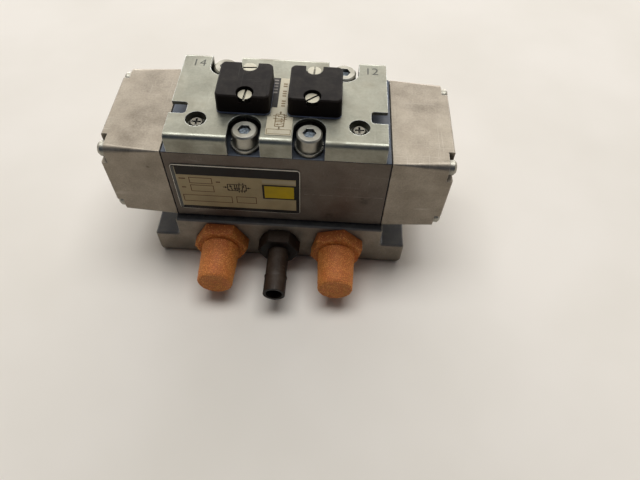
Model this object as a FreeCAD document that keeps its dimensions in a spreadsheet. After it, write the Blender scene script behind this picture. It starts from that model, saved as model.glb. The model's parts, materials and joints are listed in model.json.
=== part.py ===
import FreeCAD, Part
import math
import os
from types import SimpleNamespace
import Sketcher

# A 5/2-way directional control valve, piloted by air at both ends, on a sub-base with side ports.
# Millimetres. X runs along the spool, the front ports look towards -Y, and Z is up from the sub-base's foot.
# The origin is the middle of the foot.

sheetSizes = {
    # Valve interface: two screws in front, two behind, as the standard pattern has them
    "frontScrewSpacing": 32.0,
    "rearScrewSpacing": 64.0,
    "screwRowInset": 8.5,
    "slotWidth": 8.0,
    "slotNear": 3.0,
    "slotFar": 16.0,
    "slotPitch": 15.0,
    "pilotInset": 7.5,
    "pilotRadius": 1.5,
    # Sub-base
    "baseSideLip": 1.75,
    "baseFrontLip": 3.75,
    "baseHeight": 31.0,
    "earLength": 14.25,
    "earHeight": 17.0,
    "earRound": 3.0,
    "baseFillet": 2.0,
    "castRound": 1.0,
    "castChamfer": 0.8,
    "baseHoleInset": 7.1,
    "baseHoleSpacingY": 30.0,
    "baseHoleRadius": 4.5,
    "portInset": 15.5,
    "portRadius": 10.5,
    "portDepth": 15.0,
    "portChamfer": 0.8,
    "coreRadius": 8.5,
    "coreGap": 6.0,
    "exhaustSpacing": 67.5,
    "cylinderSpacing": 32.0,
    "pilotPortRadius": 4.85,
    "pilotPortInset": 7.0,
    "pilotPortDepth": 10.25,
    # Valve body and its stack
    "baseGasketThickness": 1.0,
    "gasketInset": 0.5,
    "bodyWidth": 115.0,
    "bodyDepth": 65.0,
    "bodyHeight": 50.0,
    "bodyRound": 0.6,
    "boreRadius": 14.0,
    "galleryRadius": 17.0,
    "passageTop": 14.0,
    "pilotHeight": 3.4,
    "sealWidth": 3.0,
    "stackClearance": 0.05,
    "runningClearance": 0.05,
    "cageBore": 10.0,
    "cageWindow": 3.0,
    "sleeveGroove": 1.0,
    # Spool and pistons; the spool rests at the left end of its travel
    "spoolTravel": 8.0,
    "landRadius": 9.0,
    "waistRadius": 5.5,
    "centreLand": 11.0,
    "waistLength": 18.0,
    "shoulder": 1.5,
    "landInset": 2.5,
    "stemRadius": 6.0,
    "spigotRadius": 4.0,
    "spigotLength": 8.0,
    "pistonLength": 10.0,
    "pistonClearance": 0.3,
    "pistonRecess": 3.0,
    "ringWidth": 3.0,
    "ringDepth": 2.5,
    "ringClearance": 0.05,
    "pistonFit": 0.02,
    "cushionGap": 0.05,
    # End caps
    "capGasketThickness": 0.75,
    "capLength": 32.0,
    "capRound": 4.5,
    "capEndChamfer": 0.6,
    "capEndWall": 6.0,
    "chamberWall": 1.1,
    "notchSize": 10.5,
    "notchDepth": 3.4,
    "notchRound": 1.5,
    "cushionProud": 0.25,
    "cushionSeat": 1.7,
    "cushionOuter": 9.0,
    "cushionInner": 5.0,
    "cushionSide": 0.05,
    "capPilotInset": 3.75,
    # Folded cover plate
    "plateEndGap": 2.75,
    "plateTop": 11.0,
    "plateThickness": 2.0,
    "bendRound": 3.0,
    "screwSlotRadius": 8.1,
    "screwSlotShift": 1.3,
    "sideNotchDepth": 8.45,
    "sideNotchRear": 7.5,
    "sideNotchLength": 8.5,
    "sideNotchRound": 2.0,
    "cupEndInset": 14.25,
    "cupFrontInset": 13.1,
    "cupRadius": 5.25,
    "cupSeat": 4.4,
    "cupHole": 2.3,
    "bossRadius": 6.0,
    # Pilot covers
    "coverInner": 4.3,
    "coverOuter": 31.4,
    "coverFront": 14.5,
    "coverRear": 12.8,
    "coverHeight": 10.0,
    "coverRound": 3.0,
    "coverEdge": 0.7,
    "coverDraft": 2.0,
    "pilotGasketThickness": 1.0,
    "padInset": 1.5,
    "coverScrewSpacing": 33.0,
    "coverScrewFront": 11.0,
    "coverScrewRear": 9.7,
    "coverRecess": 4.4,
    "coverRecessDepth": 3.9,
    "coverHole": 2.2,
    # Screws
    "threadFit": 0.05,
    "mountThread": 4.0,
    "mountReach": 12.0,
    "mountTapSpare": 3.0,
    "mountHead": 6.5,
    "mountHeadHeight": 8.0,
    "mountHeadChamfer": 0.8,
    "mountSocket": 6.0,
    "mountSocketDepth": 4.0,
    "mountClearance": 0.5,
    "washerRadius": 7.4,
    "washerBore": 4.1,
    "washerThickness": 2.0,
    "washerSlit": 1.2,
    "capThread": 2.5,
    "capScrewLength": 40.0,
    "capScrewHead": 4.0,
    "capScrewHeadHeight": 4.0,
    "capScrewEdge": 1.2,
    "capScrewCrown": 1.0,
    "capHole": 2.75,
    "cornerInset": 5.25,
    "capTapDepth": 12.0,
    "smallThread": 2.0,
    "plateScrewHead": 3.75,
    "plateScrewHeadHeight": 2.6,
    "plateScrewEdge": 1.3,
    "plateScrewCrown": 0.9,
    "plateScrewLength": 12.0,
    "coverScrewHead": 3.5,
    "coverScrewHeadHeight": 2.6,
    "coverScrewLength": 16.0,
    "slotCut": 1.0,
    "slotCutDepth": 1.1,
    "crossArm": 2.3,
    "crossWidth": 1.0,
    "crossDepth": 1.5,
    "smallTapSpare": 1.0,
    "leftFrontSlot": 85.0,
    "leftRearSlot": 5.0,
    "rightFrontSlot": 40.0,
    "rightRearSlot": 88.0,
    # Silencers and hose barb
    "plugThread": 10.45,
    "plugThreadLength": 12.0,
    "plugChamfer": 0.8,
    "silencerFlats": 27.0,
    "silencerHex": 7.5,
    "silencerLength": 31.45,
    "silencerRoot": 10.7,
    "silencerTip": 9.65,
    "silencerBore": 7.2,
    "silencerEnd": 3.0,
    "silencerEdge": 0.7,
    "leftSilencerTurn": 0.0,
    "rightSilencerTurn": 17.0,
    "barbFlats": 21.0,
    "barbHex": 8.0,
    "barbLength": 36.25,
    "barbNeck": 6.0,
    "barbRidge": 6.5,
    "barbTip": 6.2,
    "barbRidgePlace": 11.0,
    "barbRidgeLength": 1.5,
    "barbBore": 4.6,
    # Plates that carry the printing
    "nameplateInset": 2.5,
    "nameplateLength": 67.0,
    "nameplateBottom": 6.5,
    "nameplateHeight": 35.5,
    "nameplateRound": 2.0,
    "nameplateThickness": 0.5,
    "labelLeft": 5.5,
    "labelRight": 7.3,
    "labelFrontInset": 4.5,
    "labelRear": 14.7,
    "labelGap": 0.4,
    "labelThickness": 0.2,
}


# A size is both an expression of the sheet's cells and its present number, so a sum of sizes stays bound.
class Size:
    def __init__(self, words, number):
        self.words = words
        self.number = number

    def __add__(self, other):
        other = asSize(other)
        return Size(f"({self.words} + {other.words})", self.number + other.number)

    def __sub__(self, other):
        other = asSize(other)
        return Size(f"({self.words} - {other.words})", self.number - other.number)

    def __mul__(self, factor):
        factor = asSize(factor)
        return Size(f"({self.words} * {factor.words})", self.number * factor.number)

    def __truediv__(self, divisor):
        return Size(f"({self.words} / {divisor})", self.number / divisor)

    def __neg__(self):
        return Size(f"(-1 * {self.words})", -self.number)

    __radd__ = __add__
    __rmul__ = __mul__


def asSize(value):
    return value if isinstance(value, Size) else Size(repr(value), value)


doc = FreeCAD.newDocument("DirectionalValve")
sheet = doc.addObject("Spreadsheet::Sheet", "Sizes")
for row, (word, number) in enumerate(sheetSizes.items(), 1):
    sheet.set(f"A{row}", word)
    sheet.set(f"B{row}", str(number))
    sheet.setAlias(f"B{row}", word)
doc.recompute()
size = SimpleNamespace(**{word: Size(f"Sizes.{word}", number) for word, number in sheetSizes.items()})

zero = asSize(0)
leftAndRight = (-1, 1)
hexagonSides = 6
hexagonChamfer = math.radians(30)
passageCount = 5
cageWindowCount = 6
tolerance = 0.01

# Heights and places that several pieces share
portHeight = size.baseHeight - size.portInset
pilotPortHeight = size.baseHeight - size.pilotPortInset
gasketTop = size.baseHeight + size.baseGasketThickness
bodyTop = gasketTop + size.bodyHeight
boreAxis = gasketTop + size.bodyHeight / 2
plateTop = bodyTop + size.plateTop
plateUnderside = plateTop - size.plateThickness
coverBottom = plateTop + size.pilotGasketThickness
screwRow = size.bodyDepth / 2 - size.screwRowInset
pilotPlace = size.bodyWidth / 2 - size.pilotInset
baseWidth = size.bodyWidth + size.baseSideLip * 2
baseDepth = size.bodyDepth + size.baseFrontLip * 2
earSpan = baseWidth + size.earLength * 2
plateWidth = size.bodyWidth - size.plateEndGap * 2
cupPlace = plateWidth / 2 - size.cupEndInset
cupFront = size.bodyDepth / 2 - size.cupFrontInset
mountLength = size.washerThickness + size.bodyHeight + size.baseGasketThickness + size.mountReach
capStart = size.bodyWidth / 2 + size.capGasketThickness
chamberDepth = size.capLength - size.capEndWall
restShift = -(size.spoolTravel / 2)
pistonEnd = capStart + chamberDepth - size.cushionProud - size.cushionGap - size.spoolTravel / 2
pistonStart = pistonEnd - size.pistonLength
stackLength = size.slotPitch * passageCount + size.sealWidth
cageLength = size.slotPitch - size.sealWidth
cornerY = size.bodyDepth / 2 - size.cornerInset
cornerZ = size.bodyHeight / 2 - size.cornerInset
pilotDrop = size.bodyHeight / 2 - size.pilotHeight
chamberRadius = pilotDrop - size.pilotRadius - size.chamberWall
pistonRadius = chamberRadius - size.pistonClearance
ringRadius = chamberRadius - size.ringClearance
coverRecessSeat = coverBottom + size.coverHeight - size.coverRecessDepth
cupSeat = plateTop - size.cupSeat
nodes = []


def bind(thing, name, value):
    thing.setExpression(name, asSize(value).words)


def named(thing, node):
    thing.Label = node
    nodes.append(thing)
    return thing


def newBody(node, x=zero, y=zero, z=zero):
    body = named(doc.addObject("PartDesign::Body", node), node)
    for axis, place in zip("xyz", (x, y, z)):
        bind(body, f"Placement.Base.{axis}", place)
    return body


def originPart(body, role):
    return next(part for part in body.Origin.OriginFeatures if part.Role == role)


# A sketch on one of the body's own planes; right and up are its offset in the plane, out is along its normal
def sketchOn(body, plane, out=zero, right=zero, up=zero, turn=None):
    sketch = body.newObject("Sketcher::SketchObject", body.Name + "Sketch")
    sketch.AttachmentSupport = (originPart(body, plane), [""])
    sketch.MapMode = "FlatFace"
    for axis, place in zip("xyz", (right, up, out)):
        bind(sketch, f"AttachmentOffset.Base.{axis}", place)
    if turn is not None:
        bind(sketch, "AttachmentOffset.Rotation.Angle", turn)
    return sketch


# Holds a point of the sketch's geometry at a place given by sizes
def pin(sketch, kind, geometry, point, value):
    value = asSize(value)
    constraint = Sketcher.Constraint(kind, -1, 1, geometry, point, value.number)
    index = sketch.addConstraint(constraint)
    bind(sketch, f"Constraints[{index}]", value)


def direction(start, end):
    difference = [asSize(b).number - asSize(a).number for a, b in zip(start, end)]
    return [0 if abs(step) < tolerance else math.copysign(1, step) for step in difference]


def moved(point, way, distance):
    return tuple(place + distance * step if step else place for place, step in zip(point, way))


# Turns corners into the ends of lines and arcs. A corner is (x, y), or (x, y, radius) between runs along the
# axes, or (x, y, centreX, centreY) for a point that an anticlockwise arc about that centre reaches.
def outlineSteps(corners):
    steps = []
    for index, corner in enumerate(corners):
        point = corner[:2]
        if len(corner) == 2:
            steps.append((point, None, 0))
        elif len(corner) == 4:
            steps.append((point, corner[2:], 1))
        else:
            before = direction(corners[index - 1][:2], point)
            after = direction(point, corners[(index + 1) % len(corners)][:2])
            start = moved(point, [-step for step in before], corner[2])
            end = moved(point, after, corner[2])
            centre = moved(start, after, corner[2])
            turn = before[0] * after[1] - before[1] * after[0]
            steps.append((start, None, 0))
            steps.append((end, centre, turn))
    return steps


def asVector(point):
    return FreeCAD.Vector(asSize(point[0]).number, asSize(point[1]).number, 0)


def outline(sketch, corners):
    steps = outlineSteps(corners)
    runs = []
    for index, (end, centre, turn) in enumerate(steps):
        start = steps[index - 1][0]
        if centre is None:
            geometry = sketch.addGeometry(Part.LineSegment(asVector(start), asVector(end)))
            runs.append((geometry, 1, 2))
            continue
        first, last = (start, end) if turn > 0 else (end, start)
        arm = asVector(first) - asVector(centre)
        otherArm = asVector(last) - asVector(centre)
        firstAngle = math.atan2(arm.y, arm.x)
        lastAngle = math.atan2(otherArm.y, otherArm.x)
        if lastAngle <= firstAngle:
            lastAngle += 2 * math.pi
        circleOfArc = Part.Circle(asVector(centre), FreeCAD.Vector(0, 0, 1), arm.Length)
        geometry = sketch.addGeometry(Part.ArcOfCircle(circleOfArc, firstAngle, lastAngle))
        runs.append((geometry, 1, 2) if turn > 0 else (geometry, 2, 1))
        chord = asVector(end) - asVector(start)
        if abs(chord.x) > abs(chord.y) + tolerance:
            pin(sketch, "DistanceY", geometry, 3, centre[1])
        else:
            pin(sketch, "DistanceX", geometry, 3, centre[0])
    for index, (end, _, _) in enumerate(steps):
        geometry, _, endPoint = runs[index]
        nextGeometry, nextStart, _ = runs[(index + 1) % len(runs)]
        sketch.addConstraint(Sketcher.Constraint("Coincident", geometry, endPoint, nextGeometry, nextStart))
        pin(sketch, "DistanceX", geometry, endPoint, end[0])
        pin(sketch, "DistanceY", geometry, endPoint, end[1])


def rectangle(sketch, left, right, bottom, top, radius=None):
    corners = [(left, bottom), (right, bottom), (right, top), (left, top)]
    if radius is not None:
        corners = [corner + (radius,) for corner in corners]
    outline(sketch, corners)


def circle(sketch, x, y, radius):
    centre = asVector((x, y))
    shape = Part.Circle(centre, FreeCAD.Vector(0, 0, 1), asSize(radius).number)
    geometry = sketch.addGeometry(shape)
    pin(sketch, "DistanceX", geometry, 3, x)
    pin(sketch, "DistanceY", geometry, 3, y)
    index = sketch.addConstraint(Sketcher.Constraint("Radius", geometry, asSize(radius).number))
    bind(sketch, f"Constraints[{index}]", radius)


# A hexagon about the sketch's origin, with two of its corners on the sketch's X axis
def hexagon(sketch, acrossFlats):
    corner = acrossFlats / math.sqrt(3)
    angles = [math.tau / hexagonSides * step for step in range(hexagonSides)]
    outline(sketch, [(corner * math.cos(angle), corner * math.sin(angle)) for angle in angles])


def pad(body, sketch, length, midplane=False, backwards=False):
    feature = body.newObject("PartDesign::Pad", body.Name + "Pad")
    feature.Profile = sketch
    feature.Midplane = midplane
    feature.Reversed = backwards
    bind(feature, "Length", length)
    return feature


# Cuts against the normal of the sketch's plane, or along it where alongNormal is set
def pocket(body, sketch, depth=None, alongNormal=False):
    feature = body.newObject("PartDesign::Pocket", body.Name + "Pocket")
    feature.Profile = sketch
    feature.Reversed = alongNormal
    if depth is None:
        feature.Type = "ThroughAll"
    else:
        bind(feature, "Length", depth)
    return feature


def revolve(body, sketch, axis):
    feature = body.newObject("PartDesign::Revolution", body.Name + "Revolution")
    feature.Profile = sketch
    feature.ReferenceAxis = (sketch, [axis])
    feature.Angle = 360
    return feature


def groove(body, sketch, axis):
    feature = body.newObject("PartDesign::Groove", body.Name + "Groove")
    feature.Profile = sketch
    feature.ReferenceAxis = (sketch, [axis])
    feature.Angle = 360
    return feature


def mirrored(body, features, planes):
    if len(planes) == 1:
        feature = body.newObject("PartDesign::Mirrored", body.Name + "Mirror")
        feature.Originals = features
        feature.MirrorPlane = (originPart(body, planes[0]), [""])
        body.Tip = feature
        return feature
    feature = body.newObject("PartDesign::MultiTransform", body.Name + "Mirrors")
    feature.Originals = features
    steps = []
    for plane in planes:
        step = body.newObject("PartDesign::Mirrored", body.Name + "Mirror")
        step.MirrorPlane = (originPart(body, plane), [""])
        steps.append(step)
    feature.Transformations = steps
    body.Tip = feature
    return feature


# The left piece is the right one mirrored about a plane across X
def mirrorAcross(source, node, place=zero):
    mirror = named(doc.addObject("Part::Mirroring", node), node)
    mirror.Source = source
    mirror.Normal = FreeCAD.Vector(1, 0, 0)
    bind(mirror, "Base.x", place)
    return mirror


# All edges of the body that lie in a plane across one axis, on either side of the middle
def edgesInPlane(body, axis, place):
    doc.recompute()
    chosen = []
    for index, edge in enumerate(body.Tip.Shape.Edges, 1):
        points = [vertex.Point for vertex in edge.Vertexes] + [edge.CenterOfMass]
        if all(abs(abs(getattr(point, axis)) - abs(asSize(place).number)) < tolerance for point in points):
            chosen.append(f"Edge{index}")
    return chosen


def chamferEdges(body, edges, length):
    base = body.Tip
    feature = body.newObject("PartDesign::Chamfer", body.Name + "Chamfer")
    feature.Base = (base, edges)
    bind(feature, "Size", length)
    return feature


# Front passages lie in front of the middle and rear ones behind it, so their slots keep apart
def passagePlaces():
    for place in (-2, 0, 2):
        yield size.slotPitch * place, -1
    for place in (-1, 1):
        yield size.slotPitch * place, 1


def passageSlots(sketch):
    for middle, side in passagePlaces():
        near = size.slotNear if side > 0 else -size.slotFar
        far = size.slotFar if side > 0 else -size.slotNear
        rectangle(sketch, middle - size.slotWidth / 2, middle + size.slotWidth / 2, near, far)


def mountingScrewHoles(sketch, radius):
    for side in leftAndRight:
        circle(sketch, size.frontScrewSpacing * (side / 2), -screwRow, radius)
        circle(sketch, size.rearScrewSpacing * (side / 2), screwRow, radius)


def pilotHoles(sketch, radius):
    for side in leftAndRight:
        circle(sketch, pilotPlace * side, zero, radius)


# One casting: a block with an ear at each end, the main ports in front and behind, a pilot port in each end
def makeSubBase():
    body = newBody("sub_base")
    block = baseWidth / 2
    ear = earSpan / 2
    front = sketchOn(body, "XZ_Plane")
    outline(front, [
        (-ear, zero, size.earRound), (ear, zero, size.earRound), (ear, size.earHeight, size.castRound),
        (block, size.earHeight, size.baseFillet), (block, size.baseHeight, size.castRound),
        (-block, size.baseHeight, size.castRound), (-block, size.earHeight, size.baseFillet),
        (-ear, size.earHeight, size.castRound),
    ])
    pad(body, front, baseDepth, midplane=True)
    chamferEdges(body, edgesInPlane(body, "y", baseDepth / 2), size.castChamfer)

    holes = sketchOn(body, "XY_Plane", out=size.earHeight)
    for sideX in leftAndRight:
        for sideY in leftAndRight:
            place = (ear - size.baseHoleInset) * sideX
            circle(holes, place, size.baseHoleSpacingY * (sideY / 2), size.baseHoleRadius)
    pocket(body, holes)

    frontPlaces = [size.exhaustSpacing / -2, zero, size.exhaustSpacing / 2]
    rearPlaces = [size.cylinderSpacing / -2, size.cylinderSpacing / 2]
    for places, side in ((frontPlaces, 1), (rearPlaces, -1)):
        for radius, depth in (
            (size.portRadius, size.portDepth),
            (size.coreRadius, baseDepth / 2 - size.coreGap / 2),
        ):
            mouth = sketchOn(body, "XZ_Plane", out=baseDepth * (side / 2))
            for place in places:
                circle(mouth, place, portHeight, radius)
            pocket(body, mouth, depth, alongNormal=side < 0)
        for place in places:
            chamfer = sketchOn(body, "XY_Plane", out=portHeight, right=place, up=baseDepth * (-side / 2))
            inward = size.portChamfer * side
            outline(chamfer, [
                (size.portRadius - size.portChamfer, zero),
                (size.portRadius + size.portChamfer, zero),
                (size.portRadius - size.portChamfer, inward * 2),
            ])
            groove(body, chamfer, "V_Axis")

    for side in leftAndRight:
        mouth = sketchOn(body, "YZ_Plane", out=block * side)
        circle(mouth, zero, pilotPortHeight, size.pilotPortRadius)
        pocket(body, mouth, size.pilotPortDepth, alongNormal=side < 0)

    slots = sketchOn(body, "XY_Plane", out=size.baseHeight)
    passageSlots(slots)
    pocket(body, slots, size.portInset)
    pilots = sketchOn(body, "XY_Plane", out=size.baseHeight)
    pilotHoles(pilots, size.pilotRadius)
    pocket(body, pilots, size.pilotPortInset)
    taps = sketchOn(body, "XY_Plane", out=size.baseHeight)
    mountingScrewHoles(taps, size.mountThread)
    pocket(body, taps, size.mountReach + size.mountTapSpare)


def makeBaseGasket():
    body = newBody("base_gasket", z=size.baseHeight)
    halfWidth = size.bodyWidth / 2 - size.gasketInset
    halfDepth = size.bodyDepth / 2 - size.gasketInset
    sheetOutline = sketchOn(body, "XY_Plane")
    rectangle(sheetOutline, -halfWidth, halfWidth, -halfDepth, halfDepth)
    passageSlots(sheetOutline)
    mountingScrewHoles(sheetOutline, size.mountThread + size.mountClearance)
    pilotHoles(sheetOutline, size.pilotRadius + size.gasketInset)
    pad(body, sheetOutline, size.baseGasketThickness)


# The bore's galleries, one over each passage slot, are turned as grooves about the bore's axis
def makeValveBody():
    body = newBody("valve_body", z=boreAxis)
    section = sketchOn(body, "YZ_Plane")
    halfDepth = size.bodyDepth / 2
    halfHeight = size.bodyHeight / 2
    rectangle(section, -halfDepth, halfDepth, -halfHeight, halfHeight, size.bodyRound)
    pad(body, section, size.bodyWidth, midplane=True)

    padInner = size.coverInner + size.padInset
    padOuter = size.coverOuter - size.padInset
    raised = sketchOn(body, "XY_Plane", out=halfHeight)
    front = -(size.coverFront - size.padInset)
    rear = size.coverRear - size.padInset
    rectangle(raised, padInner, padOuter, front, rear, size.castRound)
    rectangle(raised, -padOuter, -padInner, front, rear, size.castRound)
    pad(body, raised, size.plateTop - size.plateThickness)
    bosses = sketchOn(body, "XY_Plane", out=halfHeight)
    for side in leftAndRight:
        circle(bosses, cupPlace * side, -cupFront, size.bossRadius)
    pad(body, bosses, cupSeat - size.plateThickness - bodyTop)

    bore = sketchOn(body, "YZ_Plane", out=size.bodyWidth / 2)
    circle(bore, zero, zero, size.boreRadius)
    pocket(body, bore)
    for place, _ in passagePlaces():
        gallery = sketchOn(body, "XZ_Plane", right=place)
        halfWidth = size.slotWidth / 2
        rectangle(gallery, -halfWidth, halfWidth, size.boreRadius - size.pilotRadius, size.galleryRadius)
        groove(body, gallery, "H_Axis")
    slots = sketchOn(body, "XY_Plane", out=-halfHeight)
    passageSlots(slots)
    pocket(body, slots, size.passageTop, alongNormal=True)

    through = sketchOn(body, "XY_Plane", out=halfHeight)
    mountingScrewHoles(through, size.mountThread + size.mountClearance)
    pocket(body, through)
    pilots = sketchOn(body, "XY_Plane", out=-halfHeight)
    pilotHoles(pilots, size.pilotRadius)
    pocket(body, pilots, size.pilotHeight, alongNormal=True)

    for side in leftAndRight:
        end = size.bodyWidth * (side / 2)
        pilot = sketchOn(body, "YZ_Plane", out=end)
        circle(pilot, zero, -pilotDrop, size.pilotRadius)
        pocket(body, pilot, size.pilotInset, alongNormal=side < 0)
        taps = sketchOn(body, "YZ_Plane", out=end)
        for sideY in leftAndRight:
            for sideZ in leftAndRight:
                circle(taps, cornerY * sideY, cornerZ * sideZ, size.capThread)
        pocket(body, taps, size.capTapDepth, alongNormal=side < 0)

    cupTaps = sketchOn(body, "XY_Plane", out=cupSeat - size.plateThickness - boreAxis)
    for side in leftAndRight:
        circle(cupTaps, cupPlace * side, -cupFront, size.smallThread)
    pocket(body, cupTaps, size.plateScrewLength - size.plateThickness + size.smallTapSpare)
    coverTaps = sketchOn(body, "XY_Plane", out=plateUnderside - boreAxis)
    for side in leftAndRight:
        for place in (-size.coverScrewFront, size.coverScrewRear):
            circle(coverTaps, size.coverScrewSpacing * (side / 2), place, size.smallThread)
    reach = coverRecessSeat - size.coverScrewLength
    pocket(body, coverTaps, plateUnderside - reach + size.smallTapSpare)


# Lands, waists and stems in one turned piece, about its own middle
def makeSpool():
    body = newBody("spool", x=restShift, z=boreAxis)
    profile = sketchOn(body, "XZ_Plane")
    waistStart = size.centreLand / 2
    waistEnd = waistStart + size.waistLength
    stemEnd = pistonStart
    landEnd = size.bodyWidth / 2 - size.landInset
    rightHalf = [
        (waistStart, size.landRadius),
        (waistStart + size.shoulder, size.waistRadius),
        (waistEnd - size.shoulder, size.waistRadius),
        (waistEnd, size.landRadius),
        (landEnd - size.shoulder, size.landRadius),
        (landEnd, size.stemRadius + size.shoulder),
        (landEnd, size.stemRadius),
        (stemEnd, size.stemRadius),
        (stemEnd, size.spigotRadius),
        (stemEnd + size.spigotLength, size.spigotRadius),
        (stemEnd + size.spigotLength, zero),
    ]
    leftHalf = [(-along, radius) for along, radius in reversed(rightHalf)]
    outline(profile, leftHalf + rightHalf)
    revolve(body, profile, "H_Axis")


# A piston has a recess towards the spool, a groove for its ring and a blind bore on the spool's spigot
def makePistons():
    body = newBody("right_piston", x=pistonStart + restShift, z=boreAxis)
    profile = sketchOn(body, "XZ_Plane")
    bore = size.spigotRadius + size.pistonFit
    grooveStart = size.pistonLength / 2 - size.ringWidth / 2
    grooveEnd = size.pistonLength / 2 + size.ringWidth / 2
    grooveFloor = ringRadius - size.ringDepth
    hub = size.stemRadius + size.pistonRecess
    rim = grooveFloor - size.pistonRecess
    outline(profile, [
        (zero, bore), (size.spigotLength, bore), (size.spigotLength, zero), (size.pistonLength, zero),
        (size.pistonLength, pistonRadius), (grooveEnd, pistonRadius), (grooveEnd, grooveFloor),
        (grooveStart, grooveFloor), (grooveStart, pistonRadius), (zero, pistonRadius),
        (zero, rim), (size.pistonRecess, rim), (size.pistonRecess, hub), (zero, hub),
    ])
    revolve(body, profile, "H_Axis")
    mirrorAcross(body, "left_piston", restShift)


def makePistonSeals():
    middle = pistonStart + size.pistonLength / 2 + restShift
    body = newBody("right_piston_seal", x=middle, z=boreAxis)
    profile = sketchOn(body, "XZ_Plane")
    inner = ringRadius - size.ringDepth
    side = size.ringWidth / 2
    lip = size.pistonClearance - size.ringClearance
    outline(profile, [
        (-side, inner), (side, inner), (side, ringRadius - lip), (side - lip, ringRadius),
        (lip - side, ringRadius), (-side, ringRadius - lip),
    ])
    revolve(body, profile, "H_Axis")
    mirrorAcross(body, "left_piston_seal", restShift)


def makeSpoolSeals():
    for number in range(passageCount + 1):
        place = size.slotPitch * (number - passageCount / 2)
        body = newBody(f"spool_seal_{number + 1}", x=place, z=boreAxis)
        profile = sketchOn(body, "XZ_Plane")
        inner = size.landRadius + size.runningClearance
        outer = size.boreRadius - size.stackClearance
        rectangle(profile, size.sealWidth / -2, size.sealWidth / 2, inner, outer)
        revolve(body, profile, "H_Axis")


# A cage holds two seals apart and lets the air through its windows
def makeSealCages():
    for number in range(passageCount):
        place = size.slotPitch * (number - (passageCount - 1) / 2)
        body = newBody(f"seal_cage_{number + 1}", x=place, z=boreAxis)
        profile = sketchOn(body, "XZ_Plane")
        outer = size.boreRadius - size.stackClearance
        rectangle(profile, cageLength / -2, cageLength / 2, size.cageBore, outer)
        revolve(body, profile, "H_Axis")
        window = sketchOn(body, "XY_Plane")
        rectangle(window, -size.cageWindow, size.cageWindow, -size.cageWindow, size.cageWindow)
        cut = pocket(body, window, alongNormal=True)
        doc.recompute()
        pattern = body.newObject("PartDesign::PolarPattern", body.Name + "Windows")
        pattern.Originals = [cut]
        pattern.Axis = (originPart(body, "X_Axis"), [""])
        pattern.Angle = 360
        pattern.Occurrences = cageWindowCount
        body.Tip = pattern


def makeEndSleeves():
    body = newBody("right_end_sleeve", x=stackLength / 2, z=boreAxis)
    profile = sketchOn(body, "XZ_Plane")
    inner = size.landRadius + size.runningClearance
    outer = size.boreRadius - size.stackClearance
    length = size.bodyWidth / 2 - stackLength / 2
    grooveStart = length / 2 - size.sleeveGroove
    grooveEnd = length / 2 + size.sleeveGroove
    outline(profile, [
        (zero, inner), (length, inner), (length, outer), (grooveEnd, outer),
        (grooveEnd, outer - size.sleeveGroove), (grooveStart, outer - size.sleeveGroove),
        (grooveStart, outer), (zero, outer),
    ])
    revolve(body, profile, "H_Axis")
    mirrorAcross(body, "left_end_sleeve")


# Lines and arcs of a rounded rectangle across X, in order round it
def capSection(place, halfDepth, halfHeight, radius):
    edges = []
    corners = ((1, 1), (-1, 1), (-1, -1), (1, -1))
    for index, (sideY, sideZ) in enumerate(corners):
        centre = FreeCAD.Vector(place, (halfDepth - radius) * sideY, (halfHeight - radius) * sideZ)
        ends = [centre + FreeCAD.Vector(0, radius * sideY, 0), centre + FreeCAD.Vector(0, 0, radius * sideZ)]
        if sideY != sideZ:
            ends.reverse()
        middle = centre + FreeCAD.Vector(0, sideY, sideZ) * (radius / math.sqrt(2))
        edges.append(Part.Arc(ends[0], middle, ends[1]).toShape())
    for index in range(len(corners)):
        start = edges[2 * index].lastVertex().Point
        end = edges[(2 * index + 1) % len(edges)].firstVertex().Point
        edges.insert(2 * index + 1, Part.makeLine(start, end))
    return edges


# The cap's long edges are nearly sharp beside the body and grow rounder towards the end, which is chamfered.
# The flat sides stay flat, and each corner is a ruled surface between the arcs of two sections.
def makeCapBlank():
    word = {name: sheet.get(name) for name in ("capLength", "bodyDepth", "bodyHeight", "bodyRound", "capRound")}
    chamfer = sheet.get("capEndChamfer")
    halfDepth = word["bodyDepth"] / 2
    halfHeight = word["bodyHeight"] / 2
    sections = [
        capSection(0, halfDepth, halfHeight, word["bodyRound"]),
        capSection(word["capLength"] - chamfer, halfDepth, halfHeight, word["capRound"]),
        capSection(word["capLength"], halfDepth - chamfer, halfHeight - chamfer, word["capRound"] - chamfer),
    ]
    faces = [Part.Face(Part.Wire(sections[0])), Part.Face(Part.Wire(sections[-1]))]
    for near, far in zip(sections, sections[1:]):
        for nearEdge, farEdge in zip(near, far):
            if isinstance(nearEdge.Curve, Part.Line):
                points = [nearEdge.firstVertex().Point, nearEdge.lastVertex().Point]
                points += [farEdge.lastVertex().Point, farEdge.firstVertex().Point]
                faces.append(Part.Face(Part.makePolygon(points + points[:1])))
            else:
                faces.append(Part.makeRuledSurface(nearEdge, farEdge))
    shell = Part.makeShell(faces)
    shell.sewShape()
    solid = Part.Solid(shell)
    if solid.Volume < 0:
        solid.reverse()
    blank = doc.addObject("Part::Feature", "CapBlank")
    blank.Shape = solid
    return blank


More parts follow.
